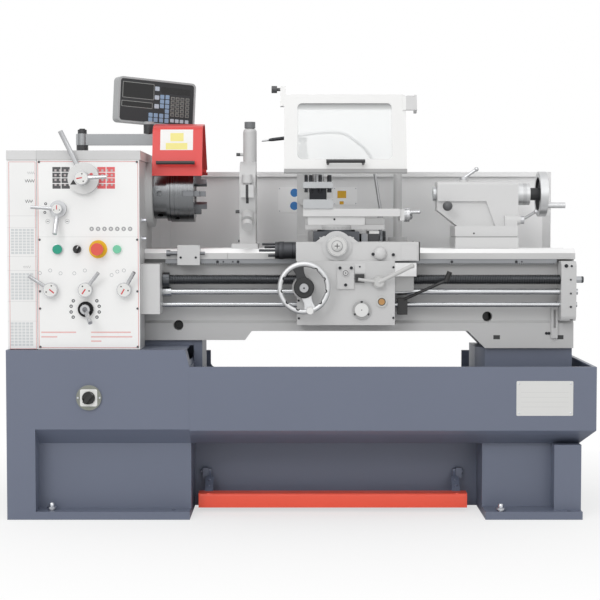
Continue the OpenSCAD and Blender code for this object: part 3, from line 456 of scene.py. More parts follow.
def framed(at, outer, inner, back, front, power):
    """A square plate with a round hole: the outer edge is a superellipse, |cos|^p + |sin|^p."""
    turn = circle(64)
    edge = outer / (np.abs(np.cos(turn)) ** power + np.abs(np.sin(turn)) ** power) ** (1 / power)
    bore = np.full(64, float(inner))
    rows = [(bore, back), (edge, back), (edge, front + 0.6), (edge - 0.6, front), (bore, front), (bore, back)]
    return np.array([np.stack([at[0] + r * np.cos(turn), 0 * r + d, at[1] + r * np.sin(turn)], -1)
                     for r, d in rows])


moulded_black = enamel("moulded_black", "1f1f20", 0.42, 0.08)[0]
dress("main_switch", moulded_black, 0.0012)
label_white = enamel("label_white", "e9e9e7", 0.38, 0.01, 0.03)[0]
piece("main_switch_plate", [framed(MAIN_SWITCH, 30, 22.6, -337.5, -340.5, 12.0)], label_white, "base")
piece("main_switch_screws", [socket_screw((MAIN_SWITCH[0] + s, -338, MAIN_SWITCH[1]), 3.4, 2.2)
                             for s in (-38, 38)], bright_zinc, "base")
printed_alloy, shader, (x, y, z), tint = enamel("printed_alloy", "dededc", 0.34, 0.01, 0.04)
rules = (z - 372).wrapped(17.0).within(8.0, 8.7).both(x.within(766, 932), z.within(384, 455))
layered(shader, tint, (rules, "c3c3c3"))
TRAY_PLATE = (849, -330.2, 427)
piece("tray_plate", [plate(TRAY_PLATE, 99, 61, 4, 1.2)], printed_alloy, "base")
DRIVE_SCREW = [(3.2, 0), (3.2, 0.6), (1.8, 1.6)]
piece("tray_plate_screws", [turned(DRIVE_SCREW, (TRAY_PLATE[0] + u, -331.2, TRAY_PLATE[2] + v), FRONT, 16)
                            for u in (-90, 90) for v in (-52, 52)], bright_zinc, "base")


# Bed. A grey iron casting in light grey enamel, with hardened and ground ways along the top. The rod
# bracket, the switch strap, the rack and the feet are bolted with dark cap screws.

def bare_metal(name, code, rough, grain=None):
    """Bare metal with fine tool marks, squeezed across the grain. Gives the material, its shader, the
    three coordinates and the tint."""
    material, shader, place = finish(name, Metallic=1.0)
    marks = noise(place, 300.0, 2.0, grain)
    tint = noise(place, 9.0, 3.0).blend(rgb(code, 0.86), rgb(code))
    tint.feed(shader, "Base Color")
    (marks * 0.16 + (rough - 0.08)).feed(shader, "Roughness")
    marks.bump(shader, 0.06)
    return material, shader, axes(place), tint


def beam(outline, hub, axis, start, end):
    """A straight bar: an outline swept along the axis of that number. Each end closes to the hub, a
    point of the outline's plane from which every corner is in sight."""
    flat = np.array(outline, float)
    rows = []
    for ring, at in ((0 * flat + hub, start), (flat, start), (flat, end), (0 * flat + hub, end)):
        rows.append(np.insert(ring, axis, at, axis=1))
    return np.array(rows)


CASTING = "c9c9c9"
bed_enamel, shader, (x, y, z), tint = enamel("bed_enamel", CASTING, 0.40)
ways = z.above(930.6).both(y.within(-141, 141))
# Painted shade: the pockets low on the bed's front and its inside behind the two holes are coloured dark.
pocket_shade = x.within(695, 719).either(x.within(926, 949)).both(z.within(618, 633), y.below(-117))
hole_shade = gap(x, z, (-455, 660)).below(42).either(gap(x, z, (688, 690)).below(42)).both(y.within(-73, 75))
layered(shader, tint, (ways, "e6e6e6"), (pocket_shade, "2b2c2e"), (hole_shade, "1f2022"))
ways.feed(shader, "Metallic")
dress("bed", bed_enamel, 0.002)
black_oxide = bare_metal("black_oxide", "3c3d40", 0.42)[0]
dress("feed_rack", bare_metal("rack_steel", "8d8f92", 0.40)[0], 0.0004)
BRACKET_SCREWS = [(944, -192, 886, 6.5), (963.5, -192, 885, 4), (960.5, -192, 836.5, 3.4),
                  (961, -192, 787, 3.4), (961.4, -192, 739.3, 4), (965, -179, 697, 6.5),
                  (945.7, -179, 697, 4)]
RACK_SCREWS = ((-302, 5), (-281, 3), (-247, 3), (-228, 5), (541.7, 5), (773.9, 5), (794, 3))
bed_screws = [socket_screw(screw[:3], screw[3], 0.6 * screw[3]) for screw in BRACKET_SCREWS]
bed_screws += [socket_screw((at_x, -134, 899), radius, 0.6 * radius) for at_x, radius in RACK_SCREWS]
bed_screws += [socket_screw((at_x, -118, 640), 5, 4) for at_x in (886.5, 896)]
bed_screws += [socket_screw((914.8, -128, 742), 4, 2.4)]
piece("bed_screws", bed_screws, black_oxide, "base")
bed_toe = [(-368, 615.2), (-204, 615.2), (-178, 650), (-368, 650)]
piece("bed_toes", [beam(bed_toe, (-270, 632), 1, *sides) for sides in ((-118.3, -58), (58, 118.3))],
      bed_enamel, "base")


# Stop block. A block clamped to the front way, painted like the bed, with a bare micrometer spindle
# through it and two dark cap screws in its front.

stop_metal, shader, (x, y, z), tint = enamel("stop_metal", CASTING, 0.38)
spindle_part = x.below(-444.5).either(x.above(-363.5))
layered(shader, tint, (spindle_part, "77797c"))
spindle_part.feed(shader, "Metallic")
dress("stop_block", stop_metal, 0.0015)
piece("stop_block_screws", [socket_screw((at_x, -168, 915), 4, 2.4) for at_x in (-432, -378)],
      black_oxide, "base")


# Splash guard. One long sheet folded forward along the top and at its ends, screwed to brackets at the
# back of the bed; two plain printed plates with discs and blocks of colour are riveted to its front.

guard_sheet = enamel("guard_sheet", "f8f8f8", 0.42)[0]
dress("splash_guard", guard_sheet, 0.0008)
GUARD_LOW, GUARD_TOP, TONGUE_TOP = 650, 1235, 1100
guard_end = [(-480.2, 267.9), (-504, 267.9), (-540, 220), (-542, 222), (-505, 271), (-480.2, 271)]
guard_tongue = [(-540, 220), (-563, 136), (-565, 137), (-542, 222)]
guard_lip = [(253.4, GUARD_TOP - 18), (256, GUARD_TOP - 18), (256, GUARD_TOP - 1), (253.4, GUARD_TOP)]
piece("guard_folds", [beam(guard_end, (-504.6, 269.4), 2, GUARD_LOW, GUARD_TOP),
                      beam(guard_tongue, (-552.5, 178.8), 2, GUARD_LOW, TONGUE_TOP),
                      beam(guard_lip, (254.6, GUARD_TOP - 9), 0, -504, 930)],
      guard_sheet, "base")
PLATES = ((-44, 1128.5, 45, 48.5), (169, 1143.4, 46, 33.8))
guard_print, shader, (x, y, z), tint = enamel("guard_print", "ffffff", 0.38, 0.01, 0.03)
discs = gap(x, z, (-26, 1155.5)).below(16).either(gap(x, z, (-27, 1105.3)).below(16))
blocks = abs(x - 156).below(17).both(abs(z - 1149).below(14)).either(
    abs(x - 155.5).below(8).both(abs(z - 1117).below(6)))
layered(shader, tint, (discs, "2f7cc4"), (blocks, "e3ae1a"))
piece("guard_plates", [plate((u, 267.8, v), half_u, half_v, 2.5, 0.8) for u, v, half_u, half_v in PLATES],
      guard_print, "base")
RIVET = [(2.6, 0), (2.2, 0.9), (1.0, 1.5)]
piece("guard_rivets", [turned(RIVET, (u + s * (a - 5), 267.2, v + t * (b - 5)), FRONT, 12)
                       for u, v, a, b in PLATES for s in (-1, 1) for t in (-1, 1)],
      bright_zinc, "base")


# Headstock. A gear casting under a flat lid, painted light grey; the readout's arm turns on a dark
# post at the back of the lid, and the rods come out of the feed gearbox at its lower right.

head_enamel, shader, (x, y, z), tint = enamel("head_enamel", "cdcdcd", 0.40)
LID_SEAM = (1256.2, 1257.4)
layered(shader, tint, (z.above(1291), "2f3032"), (z.within(*LID_SEAM), "8f8f8f"))
dress("headstock", head_enamel, 0.002)
PLUG = [(9, 0), (9, 3), (6, 3), (6, 14), (4.5, 16)]
piece("headstock_plugs", [turned(PLUG, (-564, -232, level), RIGHT, 6) for level in (1049, 984)],
      bright_zinc, "base")


# Front panel. A white sheet with a thin red border, tables of plain cells round the speed disc, ring
# marks over the levers and dots round the feed selector. A lamp and a yellow collar stand out of it.

def patch(u, v, left, right, low, high):
    return u.within(left, right).both(v.within(low, high))


def outline(u, v, left, right, low, high, line):
    """The line round a patch: the patch without a smaller one inside."""
    return patch(u, v, left, right, low, high).both(
        1 - patch(u, v, left + line, right - line, low + line, high - line))


def table(u, v, left, right, low, high, columns, rows, line):
    """A patch cut into cells: lines where the remainder of the distance by a cell's size is small."""
    wide = (right - left) / columns
    tall = (high - low) / rows
    across = (u - left).wrapped(wide).within(line / 2, wide - line / 2)
    up = (v - low).wrapped(tall).within(line / 2, tall - line / 2)
    return patch(u, v, left, right, low, high).both(across, up)


def any_of(masks):
    total = masks[0]
    for mask in masks[1:]:
        total = total.either(mask)
    return total


def kept_to(area, coats):
    """The same coats, each only where the area is."""
    return [(mask.both(area), code) for mask, code in coats]


PANEL_FRONT = -310.5
LAMP, STOP = (-642, 947), (-708, 947)
GEAR_MARKS = ((-912, 864), (-876, 873), (-840, 863), (-792, 863), (-755, 873), (-662, 857), (-642, 869),
              (-619, 873))
SELECTOR_MARKS = ((-796, 767), (-804, 748), (-804, 728), (-797, 710), (-714, 767), (-706, 748), (-706, 728),
                  (-714, 710))
RED_BARS = ((-909, -787, 657), (-909, -853, 641), (-735, -596, 657), (-735, -591, 641), (-735, -699, 626))
panel_print, shader, (x, y, z), tint = enamel("panel_print", "f3f3f2", 0.34, 0.015, 0.03)
front = y.below(PANEL_FRONT)
red_lines = outline(x, z, -917, -568, 602, 1252, 1.6)
red_cells = table(x, z, -711, -647, 1156, 1234, 2, 4, 2.6)
black_cells = table(x, z, -867, -804, 1156, 1234, 2, 4, 2.6)
figures = table(x, z, -863, -651, 1163, 1229, 13, 4, 9.0)
rings = any_of([gap(x, z, at).within(4.6, 6.4) for at in GEAR_MARKS]
               + [gap(x, z, at).within(6.6, 8.0) for at in ((-883, 1044), (-815, 1044))])
dots = any_of([gap(x, z, at).within(2.2, 6.0) for at in SELECTOR_MARKS]
              + [gap(x, z, at).within(2.0, 5.0) for at in ((-890, 1105), (-893, 1075))]
              + [patch(x, z, u - 4, u + 4, 1042.8, 1045.2) for u in (-883, -815)])
row = gap((x + 741.5).wrapped(22.3), z, (11.15, 1017.7)).within(2.4, 7.8).both(x.within(-741, -586))
bars = any_of([patch(x, z, left, right, level - 2.2, level + 2.2) for left, right, level in RED_BARS])
seam = z.within(989.6, 990.4)
screws = y.below(-311.4)
lamp_face = gap(x, z, LAMP).below(14.9).both(screws)
collar = gap(x, z, STOP).below(32).both(screws)
prints = ((seam, "c4c4c4"), (red_lines, "cf5b5b"), (red_cells, "dd5f62"), (black_cells, "4b4b4d"),
          (figures.both(red_cells.either(black_cells)), "b9b0b0"), (rings, "b3b4b6"), (row, "a2a3a4"),
          (bars, "e3b0ad"), (dots, "55575a"))
layered(shader, tint, *kept_to(front, prints), (screws, "4a4a4c"), (lamp_face, "74c7a3"), (collar, "f0bb1c"))
dress("front_panel", panel_print, 0.0006)


# End cover. A folded sheet box over the change gears, hinged at the back; its front carries tables of
# thread and feed settings as plain grey cells between thin red lines.

cover_print, shader, (x, y, z), tint = enamel("cover_print", "d6d6d6", 0.38)
front = y.below(PANEL_FRONT).both(z.below(1256))
border = outline(x, z, -1018, -925, 598.5, 1251, 1.4)
seams = any_of([z.within(level - 0.5, level + 0.5) for level in (1063, 1022, 922, 873, 765, 696)])
grids = any_of([table(x, z, -1013, -931, 929, 1019, 6, 9, 2.6), table(x, z, -1014, -934, 770, 865, 6, 9, 2.6),
                table(x, z, -1017, -936, 608, 693, 6, 8, 2.6)])
tooth = abs((x + 961).wrapped(8.2) - 4.1)
zigzags = any_of([abs(z - tooth * 2.2 - level).below(2.0).both(x.within(-961, right))
                  for level, right in ((1180, -928), (1109, -934))])
wave = abs((x + 970).wrapped(6.4) - 3.2)
coils = any_of([abs(z - wave * 2.6 - level).below(1.1).both(x.within(left, left + 26))
                for level, left in ((1208, -953), (881, -970))])
prints = ((seams, "c9c9c9"), (border, "cf6a6a"), (grids, "cdd0d1"), (coils, "9a9a9b"), (zigzags, "3a3a3b"))
layered(shader, tint, (front, "ececeb"), *kept_to(front, prints), (z.within(*LID_SEAM), "8f8f8f"))
dress("end_cover", cover_print, 0.0015)


# Drive and electrical box. Behind the cover, belts run from the motor in the cabinet up to a pulley,
# and change gears step down to the feed box. The box behind the headstock is a plain steel cabinet.

drive_metal, shader, (x, y, z), tint = bare_metal("drive_metal", "85878a", 0.42)
belts = x.within(-1001, -946).both(z.within(332, 912))
gears = x.within(-961, -937).both(y.below(-60))
motor = z.below(400).both(x.above(-905))
layered(shader, tint, (gears, "8d8676"), (motor, "5d6a7c"), (belts, "1d1d1e"))
(1 - belts.either(motor)).feed(shader, "Metallic")
dress("motor_drive", drive_metal, 0.0004)
box_enamel, shader, (x, y, z), tint = enamel("box_enamel", CASTING, 0.42)
layered(shader, tint, (y.above(320.4), "2a2a2b"))
dress("electrical_box", box_enamel, 0.0012)


# Spindle and chuck. Hardened steel, turned and ground, so the tool marks run round the axis; the
# chuck's flange shows its cam bores and the jaws are stepped.

AXIS_Z = 1145


def turned_metal(name, code, rough, ridge=2.2):
    """Steel turned about the spindle axis: noise on the distance along the axis and on the radius, so
    the marks make rings on faces and lines round the cylinders."""
    material, shader, place = finish(name, Metallic=1.0)
    u, v, w = axes(place)
    radius = gap(v, w, (0.0, AXIS_Z))
    line = place.node("ShaderNodeCombineXYZ", {0: u * ridge, 1: radius * ridge})
    marks = noise(line, 1.0)
    tint = marks.blend(rgb(code, 0.8), rgb(code))
    tint.feed(shader, "Base Color")
    (marks * 0.14 + (rough - 0.07)).feed(shader, "Roughness")
    marks.bump(shader, 0.12)
    return material, shader, (u, v, w), tint, radius


chuck_steel, shader, (x, y, z), tint, radius = turned_metal("chuck_steel", "808284", 0.26)
# Painted shade inside the central bore, coloured near black; the two thin dark rings are joint lines.
bore_shade_and_seams = any_of([radius.below(31.2), x.within(-477.2, -475.4), x.within(-461, -460.2).both(radius.above(90))])
layered(shader, tint, (bore_shade_and_seams, "2e2f31"))
dress("spindle chuck_body", chuck_steel, 0.0008)
dress("chuck_jaw_1 chuck_jaw_2 chuck_jaw_3", bare_metal("jaw_steel", "7f8184", 0.34)[0], 0.0006)


# Chuck guard. A sheet bent over the chuck in signal red, clamped to a shaft at the back; a black grip
# is screwed to its leaning front below a white field with two plain yellow blocks.

GUARD_FRONT = ((1208, 1262, -132, -126), (1262, 1330, -126, -104), (1330, 1367, -104, -97))
guard_enamel, shader, (x, y, z), tint = enamel("guard_enamel", "dc3f3c", 0.34)
skin = any_of([z.within(low, high).both((y - first - (z - low) * ((last - first) / (high - low))).below(1.2))
               for low, high, first, last in GUARD_FRONT]
              + [z.above(1367).both(gap(y, z, (-52, 1341)).above(50.6))])
label = patch(x, z, -509, -391, 1301, 1376).both(y.below(-60), skin)
blocks = patch(x, z, -489, -411, 1303, 1327).either(patch(x, z, -473, -425, 1333, 1363)).both(label)
grip = y.below(-134)
layered(shader, tint, (label, "ecebe9"), (blocks, "eadf86"), (grip, "242425"))
dress("chuck_guard", guard_enamel, 0.0006)


# Levers on the headstock. Chromed rods in turned hubs; each hub's white face carries a red pointer and
# two dark dots, and the speed disc a dark triangle.

CHROME = "c9cacc"


def lever_finish(name, at, face, pointer, front):
    """Satin chrome with a white enamelled hub face: a disc about the hub with a red bar along the
    pointer's angle and two dots beside it."""
    material, shader, (u, v, w), tint = bare_metal(name, CHROME, 0.26)
    du = u - at[0]
    dw = w - at[1]
    cos, sin = math.cos(pointer), math.sin(pointer)
    along = du * cos + dw * sin
    over = dw * cos - du * sin
    disc = (du * du + dw * dw).root().below(face).both(v.below(front))
    bar = along.within(-0.15 * face, 0.78 * face).both(abs(over).below(0.1 * face), disc)
    spots = any_of([gap(along, over, (-0.25 * face, s * 0.62 * face)).below(0.12 * face) for s in (-1, 1)])
    layered(shader, tint, (disc, "e3e3e1"), (bar, "c9323a"), (spots.both(disc), "3b3b3c"))
    (1 - disc).feed(shader, "Metallic")
    return material


SPEED = (-756, 1193)
for name, at, face, lean, front_y in (
        ("gear_lever_1", (-873, 806), 22.5, -40, -336.5), ("gear_lever_2", (-752, 806), 22.5, 235, -336.5),
        ("gear_lever_3", (-617, 806), 22.5, 240, -336.5), ("thread_lever", (-845, 1087), 16, 90, -354),
        ("range_lever", SPEED, 21, 190, -382)):
    dress(name, lever_finish(name + "_chrome", at, face, math.radians(lean), front_y), 0.0012)
speed_disc, shader, (x, y, z), tint = bare_metal("speed_disc", "c6c7c9", 0.3)
disc = gap(x, z, SPEED).below(54.6).both(y.below(-330.4), z.below(1248.5))
triangle = (abs(x + 790) + (z - 1171) * 0.62).below(11.0).both(z.above(1171))
mark = (abs(x + 728) * 0.6 + abs(z - 1207)).below(5.0)
layered(shader, tint, (disc, "dcdcdb"), (disc.both(triangle), "2f2f30"), (disc.both(mark), "cf4a50"))
(1 - disc).feed(shader, "Metallic")
dress("speed_lever", speed_disc, 0.0012)
satin_chrome = bare_metal("satin_chrome", CHROME, 0.36)[0]
dress("direction_lever", satin_chrome, 0.0012)
selector_finish, shader, (x, y, z), tint = bare_metal("selector_finish", "c4c5c7", 0.28)
reach = gap(x, z, (-752, 738))
ring = reach.below(27.5).both(y.above(-326))
layered(shader, tint, (ring, "29292a"), (reach.below(9).both(y.below(-340.5)), "7c7d80"))
dress("feed_selector", selector_finish, 0.0012)


# Buttons. Moulded caps on the panel: green start, black rotary switch with a white pointer and the red
# mushroom of the emergency stop.

dress("start_button", enamel("green_cap", "1f9c80", 0.28)[0], 0.0014)
rotary_black, shader, (x, y, z), tint = enamel("rotary_black", "1c1c1d", 0.36)
pointer = abs((x + 781) * 0.866 - (z - 947) * 0.5).below(1.2).both(y.below(-333.5), z.above(950))
layered(shader, tint, (pointer, "e4e4e4"))
dress("coolant_switch", rotary_black, 0.0010)
mushroom_red, shader, (x, y, z), tint = enamel("mushroom_red", "e05a4c", 0.30)
layered(shader, tint, (y.above(-335.2), "8a2f2a"))
dress("emergency_stop", mushroom_red, 0.0010)
BEZEL = [(19, 0), (19, 3.5), (17.2, 4.5), (16.8, 4.5), (16.8, 0)]
piece("start_button_bezel", [turned(BEZEL, (-849, -310.8, 947), FRONT, 40)], satin_chrome, "base")


# Readout. A grey die-cast housing on a swivel at the end of a flat steel arm; a charcoal face sheet
# with two dark displays at the left and a keypad of blue and outlined keys at the right.

READOUT = (-556.0, 186.0, 1494.0)
TIP, SWING = math.radians(3), math.radians(30)


def on_readout(grid):
    """From the housing's own frame to the machine's: tipped about Y, then swung about Z."""
    cos, sin = math.cos(TIP), math.sin(TIP)
    tipped = np.array([[cos, 0, sin], [0, 1, 0], [-sin, 0, cos]])
    cos, sin = math.cos(SWING), math.sin(SWING)
    swung = np.array([[cos, -sin, 0], [sin, cos, 0], [0, 0, 1]])
    return grid @ (swung @ tipped).T + READOUT


def readout_part(name, sheets, level, thick, corner, material):
    """Sheets stacked on the sunk front, each given by its centre and half sizes."""
    piece(name, [on_readout(plate((u, level, v), a, b, corner, thick)) for u, v, a, b in sheets],
          material, "dro_display")


dress("dro_arm", bare_metal("arm_steel", "9a9c9e", 0.40, (0.05, 1.0, 1.0))[0], 0.001)
housing_coat, shader, (x, y, z), tint = enamel("housing_coat", "adafb0", 0.46, 0.08)
layered(shader, tint, (z.below(1408), "2c2d2f"))
dress("dro_display", housing_coat, 0.0022)
FACE, RAISED, GLASS, KEY_TOP = -21.8, -22.6, -23.1, -23.4
SCREENS = ((-78.6, 36.9, 64.5, 30.3), (-82.2, -14.9, 63.4, 11.5))
KEY_COLUMNS = (64.2, 84.2, 104.3, 125.8)
blue_keys = [(20, level) for level in (22.5, 5, -12.6)]
blue_keys += [(41.4, level) for level in (23.5, 5.5, -12.5, -30.5, -48.4, -66.4)]
blue_keys += [(u, level) for u in (-25.4, -4, 18.8) for level in (-49, -66.5)]
pale_keys = [(-1.9, level, 9.2, 8.2) for level in (51.2, 18.2, -14.9)]
pale_keys += [(u, -63.7, 7.6, 6.6) for u in KEY_COLUMNS]
grey_keys = [(u, level) for u in KEY_COLUMNS for level in (19.8, 4.6, -10.6, -25.8, -41)]
charcoal = enamel("charcoal_sheet", "242528", 0.42, 0.03)[0]
display_glass = enamel("display_glass", "0c0c0d", 0.24, 0.0)[0]
readout_part("readout_face", [(0, 0, 151.4, 77.4)], FACE, 0.9, 10.5, charcoal)
readout_part("display_borders", SCREENS, RAISED, 0.6, 3, enamel("display_border", "8f918f", 0.4)[0])
readout_part("display_glass", [(u, v, a - 2.4, b - 2.4) for u, v, a, b in SCREENS], GLASS, 0.5, 2,
             display_glass)
readout_part("display_strip", [(76, 48.3, 60.5, 11.5)], RAISED, 0.5, 4, display_glass)
readout_part("readout_blue_keys", [(u, v, 8.2, 7.7) for u, v in blue_keys], RAISED, 1.6, 2.2,
             enamel("key_blue", "8fa9c6", 0.45)[0])
readout_part("readout_pale_keys", pale_keys, RAISED, 1.6, 2.2, enamel("key_pale", "bcc6d2", 0.45)[0])
readout_part("readout_key_outlines", [(u, v, 7.6, 6.4) for u, v in grey_keys], RAISED, 0.9, 1.6,
             enamel("key_outline", "8f8f8a", 0.45)[0])
readout_part("readout_dark_keys", [(u, v, 5.4, 4.2) for u, v in grey_keys], KEY_TOP, 0.8, 1.2,
             enamel("key_dark", "4a4b4d", 0.45)[0])


# Rods. The leadscrew is cut with a trapezoidal thread of 6 mm pitch and left dark; feed rod and switch
# rod are bright drawn bar, and all three run from the feed box to the bracket at the right.

SCREW_Y, SCREW_Z = -165.0, 836.0


def capped(grid, first, last):
    """Closes both ends of a tube of rings, each to a point."""
    ends = [np.broadcast_to(point, (1, *grid.shape[1:])) for point in (first, last)]
    return np.concatenate([ends[0], grid, ends[1]])


def thread(start, end, radius, pitch, depth):
    """A screw along X: the radius drops by a clipped triangle wave of the phase x/pitch - angle."""
    steps = int((end - start) / pitch * 7)
    along = np.linspace(start, end, steps)[:, None]
    turn = circle(24)[None]
    wave = np.abs((along / pitch - turn / (2 * np.pi)) % 1 - 0.5) * 2
    r = radius - depth * np.clip((wave - 0.3) / 0.4, 0, 1)
    grid = np.stack(np.broadcast_arrays(along, SCREW_Y + r * np.cos(turn), SCREW_Z + r * np.sin(turn)), -1)
    return capped(grid, (start, SCREW_Y, SCREW_Z), (end, SCREW_Y, SCREW_Z))


screw_steel, shader, (x, y, z), tint = bare_metal("screw_steel", "595b5e", 0.30, (0.1, 1.0, 1.0))
layered(shader, tint, (x.within(981, 1002), "b6b8bb"))
leadscrew = piece("threaded_leadscrew", [
    thread(-472, 926, 18.0, 6.0, 3.0),
    turned([(12, 0), (12, 44), (26, 44), (26, 66), (25, 68), (18, 68)], (-540, SCREW_Y, SCREW_Z), RIGHT, 40),
    turned([(16, 0), (12, 3), (12, 83), (11, 85)], (925, SCREW_Y, SCREW_Z), RIGHT, 40)],
    screw_steel, "leadscrew")
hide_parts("leadscrew")
dress("feed_rod switch_rod", bare_metal("drawn_bar", "c0c2c4", 0.24, (0.03, 1.0, 1.0))[0], 0.0006)


# Saddle and apron. Iron castings in light grey enamel; the apron's front carries a bearing cover with
# three notches, an amber sight glass, bolted plates and the boxes of the thread dial.

saddle_enamel, shader, (x, y, z), tint = enamel("saddle_enamel", "d0d0d0", 0.40)
CLAMP_BOLTS = ((254, 928), (326, 926))
bolts = any_of([gap(x, z, at).below(5.9) for at in CLAMP_BOLTS]).both(y.below(-211))
wiper = x.above(416.5).both(z.below(972))
reader = x.within(236.8, 281).both(y.within(-117, -51), z.above(972))
scale = x.within(215.5, 237).both(y.within(-131, 151), z.within(972, 1001))
layered(shader, tint, (bolts, "3c3d3f"), (wiper, "242425"), (scale, "8e9094"), (reader, "e4e4e3"),
        (reader.both(z.below(1000)), "333437"), (reader.both(x.below(245), z.above(1000)), "1f1f20"))
dress("saddle", saddle_enamel, 0.002)

COVER, SIGHT = (213, 731), (284, 760)
PLATE_BOLTS = ((136, 880), (176, 880), (156, 820))
apron_enamel, shader, (x, y, z), tint = enamel("apron_enamel", CASTING, 0.40)
proud = y.below(-235.6)
reach = gap(x, z, COVER)
notches = any_of([gap(x, z, (COVER[0] + 29 * math.cos(a), COVER[1] + 29 * math.sin(a))).below(4.4)
                  for a in np.radians([90, 212, 328])])
glass = gap(x, z, SIGHT)
plug = gap(x, z, (156, 862))
plug_marks = plug.within(7.5, 10).either(plug.below(2.6)).both(y.below(-243.4))
beside = x.above(331.5).both(z.above(796))
interlock = patch(x, z, 189, 223, 827, 859)
raised = ((reach.within(24.3, 32.3), "a4a4a4"), (reach.below(24.3), "dededd"), (notches, "303032"),
          (reach.below(2.2), "6a6a6a"), (glass.within(14, 19.3), "c6c6c4"),
          (glass.within(10.6, 14), "4a4436"), (glass.below(10.6), "b98a52"), (interlock, "2a2a2b"))
layered(shader, tint, (beside.both(z.below(850)), "9d9d9d"), (beside.both(z.above(850)), "e9e9e9"),
        *kept_to(proud, raised), (plug_marks, "5a5a5c"))
dress("apron", apron_enamel, 0.0018)
APRON_SCREWS = ((-10, 764), (-9, 701), (325.5, 703), (325.5, 882))
apron_screws = [socket_screw((u, -235, v), 4, 2.4) for u, v in APRON_SCREWS]
apron_screws += [socket_screw((u, -246.6, v), 5.6, 3) for u, v in PLATE_BOLTS]
apron_screws += [socket_screw((206.5, -236.2, 884), 3, 1.8)]
apron_screws += [socket_screw((u, -215.6, v), 5.6, 3) for u, v in CLAMP_BOLTS]
piece("apron_screws", apron_screws, black_oxide, "carriage")
piece("apron_plate", [plate((206.5, -234.8, 877.5), 19.5, 18, 1.6, 1.6)], saddle_enamel, "carriage")
CLAMP_DOME = [(23, 0), (23, 4), (21.5, 9), (17.5, 13.5), (11, 17), (4, 18.5)]
piece("clamp_dome", [turned(CLAMP_DOME, (279, -213, 930), FRONT, 40)], saddle_enamel, "carriage")


# Carriage handwheel. A cast wheel with eight finger notches inside its rim and two broad spokes, one bright
# and one painted dark as shade, on a black hub and graduated collar; the notches are darkened with painted
# shade, and the grip has a pale end.

HUB, GRIP = (9, 811), (30, 736)
WHEEL = np.array([HUB[0], -288.0, HUB[1]])
SPOKE = math.radians(106)
NOTCHES = SPOKE + np.radians([49, 82, 115, 148, -49, -82, -115, -148])


def rim(radius, tube, dent):
    """A ring in the X-Z plane. The tube's inner half sinks at the notches: its radius falls by a bell
    curve of the angle from each notch, weighted by how far inward the point looks."""
    turn = circle(300)[:, None]
    roll = circle(24)[None]
    away = np.abs((turn - NOTCHES[None] + np.pi) % (2 * np.pi) - np.pi).min(1, keepdims=True)
    size = tube * (1 - dent * np.exp(-(away / 0.06) ** 2) * np.clip(-np.cos(roll), 0, 1))
    r = radius + size * np.cos(roll)
    grid = np.stack(np.broadcast_arrays(r * np.cos(turn), size * np.sin(roll), r * np.sin(turn)), -1)
    return np.concatenate([grid, grid[:1]])


def spoke(angle, start, end, half_start, half_end, thick):
    """A flat arm along a radius: a superellipse section whose half width eases from hub to rim."""
    out = np.linspace(start, end, 16)[:, None]
    roll = circle(32)[None]
    part = (out - start) / (end - start)
    half = half_start + (half_end - half_start) * part - 6 * np.sin(np.pi * part)
    u = np.sign(np.cos(roll)) * np.abs(np.cos(roll)) ** 0.5 * half
    v = np.sign(np.sin(roll)) * np.abs(np.sin(roll)) ** 0.5 * thick / 2 + 0 * out
    cos, sin = math.cos(angle), math.sin(angle)
    grid = np.stack(np.broadcast_arrays(out * cos - u * sin, v, out * sin + u * cos), -1)
    return capped(grid, grid[0].mean(0), grid[-1].mean(0))


def graduations(u, v, at, count, share=0.2, soft=0.04):
    """Marks all round a point: the first share of each of the count equal parts of a turn."""
    turn = (v - at[1]).turned_from(u - at[0])
    return (turn * (count / (2 * math.pi)) + count).wrapped(1.0).within(0.0, share, soft)


wheel_metal, shader, (x, y, z), tint = bare_metal("wheel_metal", "d6d7d8", 0.52)
reach = gap(x, z, HUB)
along = (x - HUB[0]) * math.cos(SPOKE) + (z - HUB[1]) * math.sin(SPOKE)
collar = reach.below(36.6).both(y.above(-303.5))
marks = graduations(x, z, HUB, 100, 0.16, 0.03).both(reach.above(35.4), y.within(-271, -258))
cap = reach.below(16.4).both(y.below(-302.5))
# Painted shade: one spoke and the notch hollows are coloured near black for the shade they stand in.
shaded_spoke = along.above(30).both(reach.below(75.5), abs(y - WHEEL[1]).below(6))
notch_shade = any_of([gap(x, z, (HUB[0] + 76 * math.cos(a), HUB[1] + 76 * math.sin(a))).below(6.5)
                for a in NOTCHES])
grip_end = gap(x, z, GRIP).below(15).both(y.below(-362))
layered(shader, tint, (shaded_spoke, "2a2b2d"), (notch_shade.both(reach.above(70)), "1d1d1e"), (collar, "232425"),
        (marks, "d8d8d8"), (cap, "a9aaac"), (reach.below(3.2).both(y.below(-302.5)), "2a2a2b"),
        (grip_end, "e4e4e3"))
(1 - any_of([collar, grip_end, shaded_spoke])).feed(shader, "Metallic")
HUB_PROFILE = [(12.4, 0), (12.4, 39.6), (35, 39.6), (36, 40.6), (36, 71), (35, 72), (12.4, 72), (12.4, 74),
               (34, 74), (35, 75), (35, 99), (32, 102), (16, 102), (16, 110.5), (14.5, 112)]
GRIP_PROFILE = [(6, 0), (6, 4), (8.8, 6), (8.4, 40), (9, 72), (13.4, 78), (13.4, 104), (11, 107.6), (6, 108)]
handwheel = piece("notched_handwheel", [
    rim(83.5, 9.5, 0.55) + WHEEL,
    *[spoke(angle, 26, 80, 21, 23, 9) + WHEEL for angle in (SPOKE, SPOKE + math.pi)],
    turned(HUB_PROFILE, (HUB[0], -200, HUB[1]), FRONT, 48),
    turned(GRIP_PROFILE, (GRIP[0], -290, GRIP[1]), FRONT, 32)],
    wheel_metal, "carriage_handwheel")
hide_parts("carriage_handwheel")


# Apron levers and stop turret. The feed lever is a satin grey casting; the spindle lever is a black bar
# on the switch rod; the turret is a blackened drum with four stop screws.

